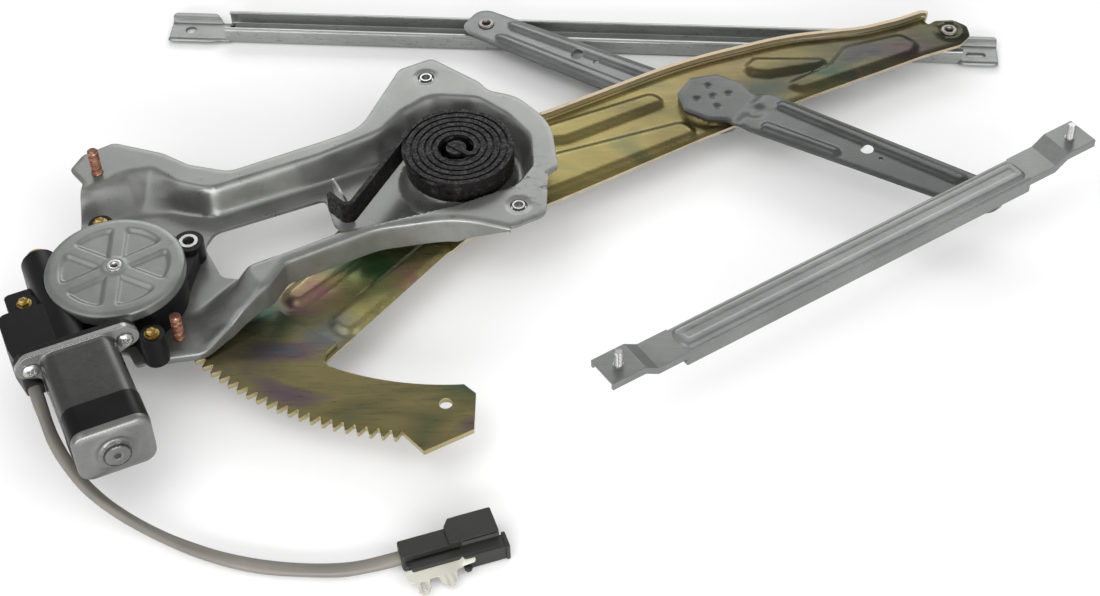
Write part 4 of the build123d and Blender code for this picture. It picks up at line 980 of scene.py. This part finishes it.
def end_height(p):
    r = np.hypot(p[:, 0], p[:, 1])
    z = 111.4 - 0.8 * smooth(1.0 + distance(p, end_loop) / 2.6) + 0.5 * smooth(0.5 - (r - 12.0) / 3.0)
    z = z - 0.5 * smooth(0.5 - (np.abs(r - 8.6) - 0.4) / 1.0)
    return z + 3.3 * smooth(0.5 - (r - 7.0) / 1.4) - 0.8 * smooth(0.5 - (r - 1.6) / 1.0)


flat, tris = net(end_loop, [], 1.0)
top = [(x, y, z) for (x, y), z in zip(flat.tolist(), end_height(flat).tolist())]
skirt(top, tris, lambda x, y: True, [(0.5, -0.5), (0.85, -1.3), (1.0, -2.6), (1.0, -4.5)])
make("can_end_plate", top, tris, "end_steel", "base", None, shaft_frame, 50.0)


# Grease packed between the turns of the spring

SPOKES, RINGS = 90, 34
verts, faces = [], []
for j in range(RINGS + 1):
    for k in range(SPOKES):
        wave = (0.25 * math.sin(0.31 * k + 1.7 * j) + 0.2 * math.sin(0.77 * k - 0.9 * j)
                + 0.15 * math.sin(0.13 * k * j))
        verts.append((*at(9.5 + 20.2 * j / RINGS, 360.0 * k / SPOKES), 30.15 + wave))
for j in range(0, RINGS * SPOKES, SPOKES):
    for k in range(SPOKES):
        m = (k + 1) % SPOKES
        faces.append((j + k, j + SPOKES + k, j + SPOKES + m, j + m))
points, shell, rim = thicken(verts, faces, 1.5)
make("spring_grease", points.tolist(), shell + rim, "spring_steel", "base", None, None, 80.0)


# Gear housing: the moulding with its short worm tube and the low rear ear

TUBE_END, TUBE_HALF_WIDTH = -31.0, 10.5
EAR_TOP, OLD_EAR_TOP, EAR_RADIUS = 18.0, 24.0, 12.0
source = nodes["gear_housing"].data
back = motor.inverted()
rear_ear = Vector(at(EAR_REACH, 175.0))
verts = []
for v in source.vertices:
    q = back @ plan(v.co)
    if q.x < TUBE_END and abs(q.y - AXIS_Y) < TUBE_HALF_WIDTH and (q.xy - rear_ear).length > 9.0:
        q.x = TUBE_END
    if (q.xy - rear_ear).length < EAR_RADIUS and q.z > EAR_TOP - 0.1 and q.x < -40.0:
        q.z = EAR_TOP - (OLD_EAR_TOP - q.z) * 0.01
    verts.append(motor @ q)
make("housing_moulding", verts, [tuple(f.vertices) for f in source.polygons], "black_plastic", "base",
     "gear_housing", None, 30.0)


# Connector: two moulded halves side by side and the pale retaining strip with its tabs

tip, before = route[-1], route[-2]
plug = shifted(tip[0], tip[1], 0.0, math.degrees(math.atan2(tip[1] - before[1], tip[0] - before[0])))


def blocks(name, parts, finish, node, place, width):
    """Upright blocks with rounded plans, from (plan, corner radius, bottom, top)."""
    verts, faces = [], []
    for points, radius, bottom, top in parts:
        loop = rounded(points, radius, 0.8)
        faces += ring_faces(len(verts), 2, len(loop))
        verts += [(q.x, q.y, z) for z in (bottom, top) for q in loop]
    obj = make(name, verts, faces, finish, "base", node, place, 30.0)
    bevel = obj.modifiers.new("rounding", "BEVEL")
    bevel.width = width * MM
    bevel.segments = 3
    bevel.limit_method = "ANGLE"
    bevel.angle_limit = math.radians(40)
    bevel.harden_normals = True
    return obj


def quad(x0, x1, y0, y1):
    """Corners of a rectangle."""
    return [(x0, y0), (x1, y0), (x1, y1), (x0, y1)]


shell = blocks("connector_shell", [
    (quad(0.0, 26.0, -6.0, 4.5), 1.0, -19.6, -9.0),
    ([(23.5, -6.0), (30.0, -6.4), (30.0, 8.8), (26.5, 8.8), (23.5, 4.5)], 0.8, -20.4, -7.6),
    (quad(29.0, 48.0, -6.4, 8.8), 0.8, -9.3, -7.5),
    (quad(29.0, 48.0, -6.4, 8.8), 0.8, -20.6, -19.0),
    (quad(29.0, 48.0, 7.2, 8.8), 0.4, -20.0, -8.0),
    (quad(29.0, 48.0, -6.4, -4.8), 0.4, -20.0, -8.0),
    (quad(1.0, 47.0, -9.5, -6.2), 0.5, -19.8, -12.6),
    (quad(3.0, 46.0, -12.4, -8.0), 0.8, -19.8, -11.4),
    (quad(28.0, 50.0, -14.0, -6.0), 1.5, -20.6, -11.6),
    (quad(49.0, 51.0, -14.8, -5.0), 0.6, -20.7, -11.0),
], "connector_plastic", "connector_housing", plug, 0.55)
strip_edge = rounded([(0.0, -11.0), (33.5, -11.0), (33.5, -15.6), (24.0, -16.0), (23.2, -19.4), (21.0, -22.6),
                      (18.4, -23.2), (15.8, -21.0), (14.6, -17.0), (9.8, -16.8), (9.6, -20.8), (8.2, -23.4),
                      (5.4, -23.6), (3.6, -21.4), (3.2, -17.0), (0.0, -16.4)],
                     [1, 1, 1, 1.5, 2, 2.5, 2.5, 2, 1.5, 1.5, 1.5, 2, 2, 2, 1, 2], 0.6)
strip_slot = rounded([(5.2, -17.4), (7.9, -17.4), (7.7, -21.8), (5.7, -21.8)], 1.0, 0.6)


def strip_height(p):
    rib = 0.35 * np.sin(p[:, 0] * 1.9) * smooth((-17.0 - p[:, 1]) / 2.0)
    step = smooth((p[:, 0] - 26.0) / 2.0) * smooth((p[:, 1] + 16.5) / 2.0)
    return -13.6 + 0.40 * (p[:, 1] + 12.0) + rib + 1.6 * step


strip = sheet("connector_strip", strip_edge, [strip_slot], strip_height, 1.3, 0.7, "clip_plastic",
              "base", "connector_clip", (), plug)
knob = lathe("connector_knob", [(0.4, -19.4), (1.5, -19.1), (2.0, -18.0), (1.6, -16.9), (0.4, -16.4)],
             "connector_plastic", "base", None,
             place=plug @ Matrix.Translation((29.5, -15.6, 0.0)), count=16)


# Motor cable in its flat sleeve

curve = bpy.data.curves.new("cable_line", "CURVE")
curve.dimensions = "3D"
spline = curve.splines.new("NURBS")
spline.points.add(len(route) - 1)
for point, target in zip(spline.points, route):
    point.co = (*row(target), 1.0)
spline.order_u = 3
spline.use_endpoint_u = True
spline.resolution_u = 14
line = bpy.data.objects.new("cable_line", curve)
scene.collection.objects.link(line)
read = bpy.data.meshes.new_from_object(line)
path = [v.co.copy() for v in read.vertices]
bpy.data.objects.remove(line)
SLEEVE_SIDES = 20
verts = []
for k, p in enumerate(path):
    tangent = (path[min(k + 1, len(path) - 1)] - path[max(k - 1, 0)]).normalized()
    aside = tangent.cross(Vector((0, 0, 1))).normalized()
    above = aside.cross(tangent).normalized()
    share = k / (len(path) - 1)
    tilt = 0.55 * math.sin(5.0 * share) + 0.25 * math.sin(17.0 * share)
    wide, thin = 3.45 + 0.08 * math.sin(40.0 * share), 2.5 + 0.12 * math.sin(31.0 * share + 1.0)
    for j in range(SLEEVE_SIDES):
        c, s = math.cos(2 * math.pi * j / SLEEVE_SIDES), math.sin(2 * math.pi * j / SLEEVE_SIDES)
        u = wide * math.copysign(abs(c) ** 0.85, c)
        w = thin * math.copysign(abs(s) ** 0.85, s)
        u, w = u * math.cos(tilt) - w * math.sin(tilt), u * math.sin(tilt) + w * math.cos(tilt)
        verts.append(plan(p + aside * u * MM + above * w * MM))
cable = make("cable_sleeve", verts, ring_faces(0, len(path), SLEEVE_SIDES), "sleeve", "base",
             "motor_cable", None, 60.0)


# Floor, backdrop and light

FLOOR_GAP = 0.0008
bpy.ops.mesh.primitive_plane_add(size=8.0, location=(0.2, 0.0, cad_box[0][2] - FLOOR_GAP))
floor = bpy.context.object
floor.name = "floor"
tree, bsdf = new_material("floor_white")
put(bsdf, Base_Color=(0.90, 0.90, 0.90, 1), Roughness=0.9, Specular_IOR_Level=0.1)
floor.data.materials.append(finishes["floor_white"])

world = bpy.data.worlds.new("studio")
scene.world = world
world.use_nodes = True
put(world.node_tree.nodes["Background"], Color=(1, 1, 1, 1), Strength=0.55)

for name, where, target, size, power in (
        ("key", (-0.7, -0.5, 1.5), (0.2, 0, 0), (1.4, 1.4), 9),
        ("fill", (1.3, -0.9, 1.2), (0.3, 0, 0), (1.2, 1.0), 6.5),
        ("back", (0.3, 1.4, 0.9), (0.2, 0, 0), (1.6, 0.6), 10),
        ("front", (0.1, -1.5, 0.35), (0.2, -0.1, 0), (2.0, 0.7), 30)):
    data = bpy.data.lights.new(name, "AREA")
    data.shape = "RECTANGLE"
    data.size, data.size_y = size
    data.energy = power
    lamp = bpy.data.objects.new(name, data)
    scene.collection.objects.link(lamp)
    lamp.location = where
    lamp.rotation_euler = (Vector(target) - Vector(where)).to_track_quat("-Z", "Y").to_euler()

scene.view_settings.view_transform = "Standard"
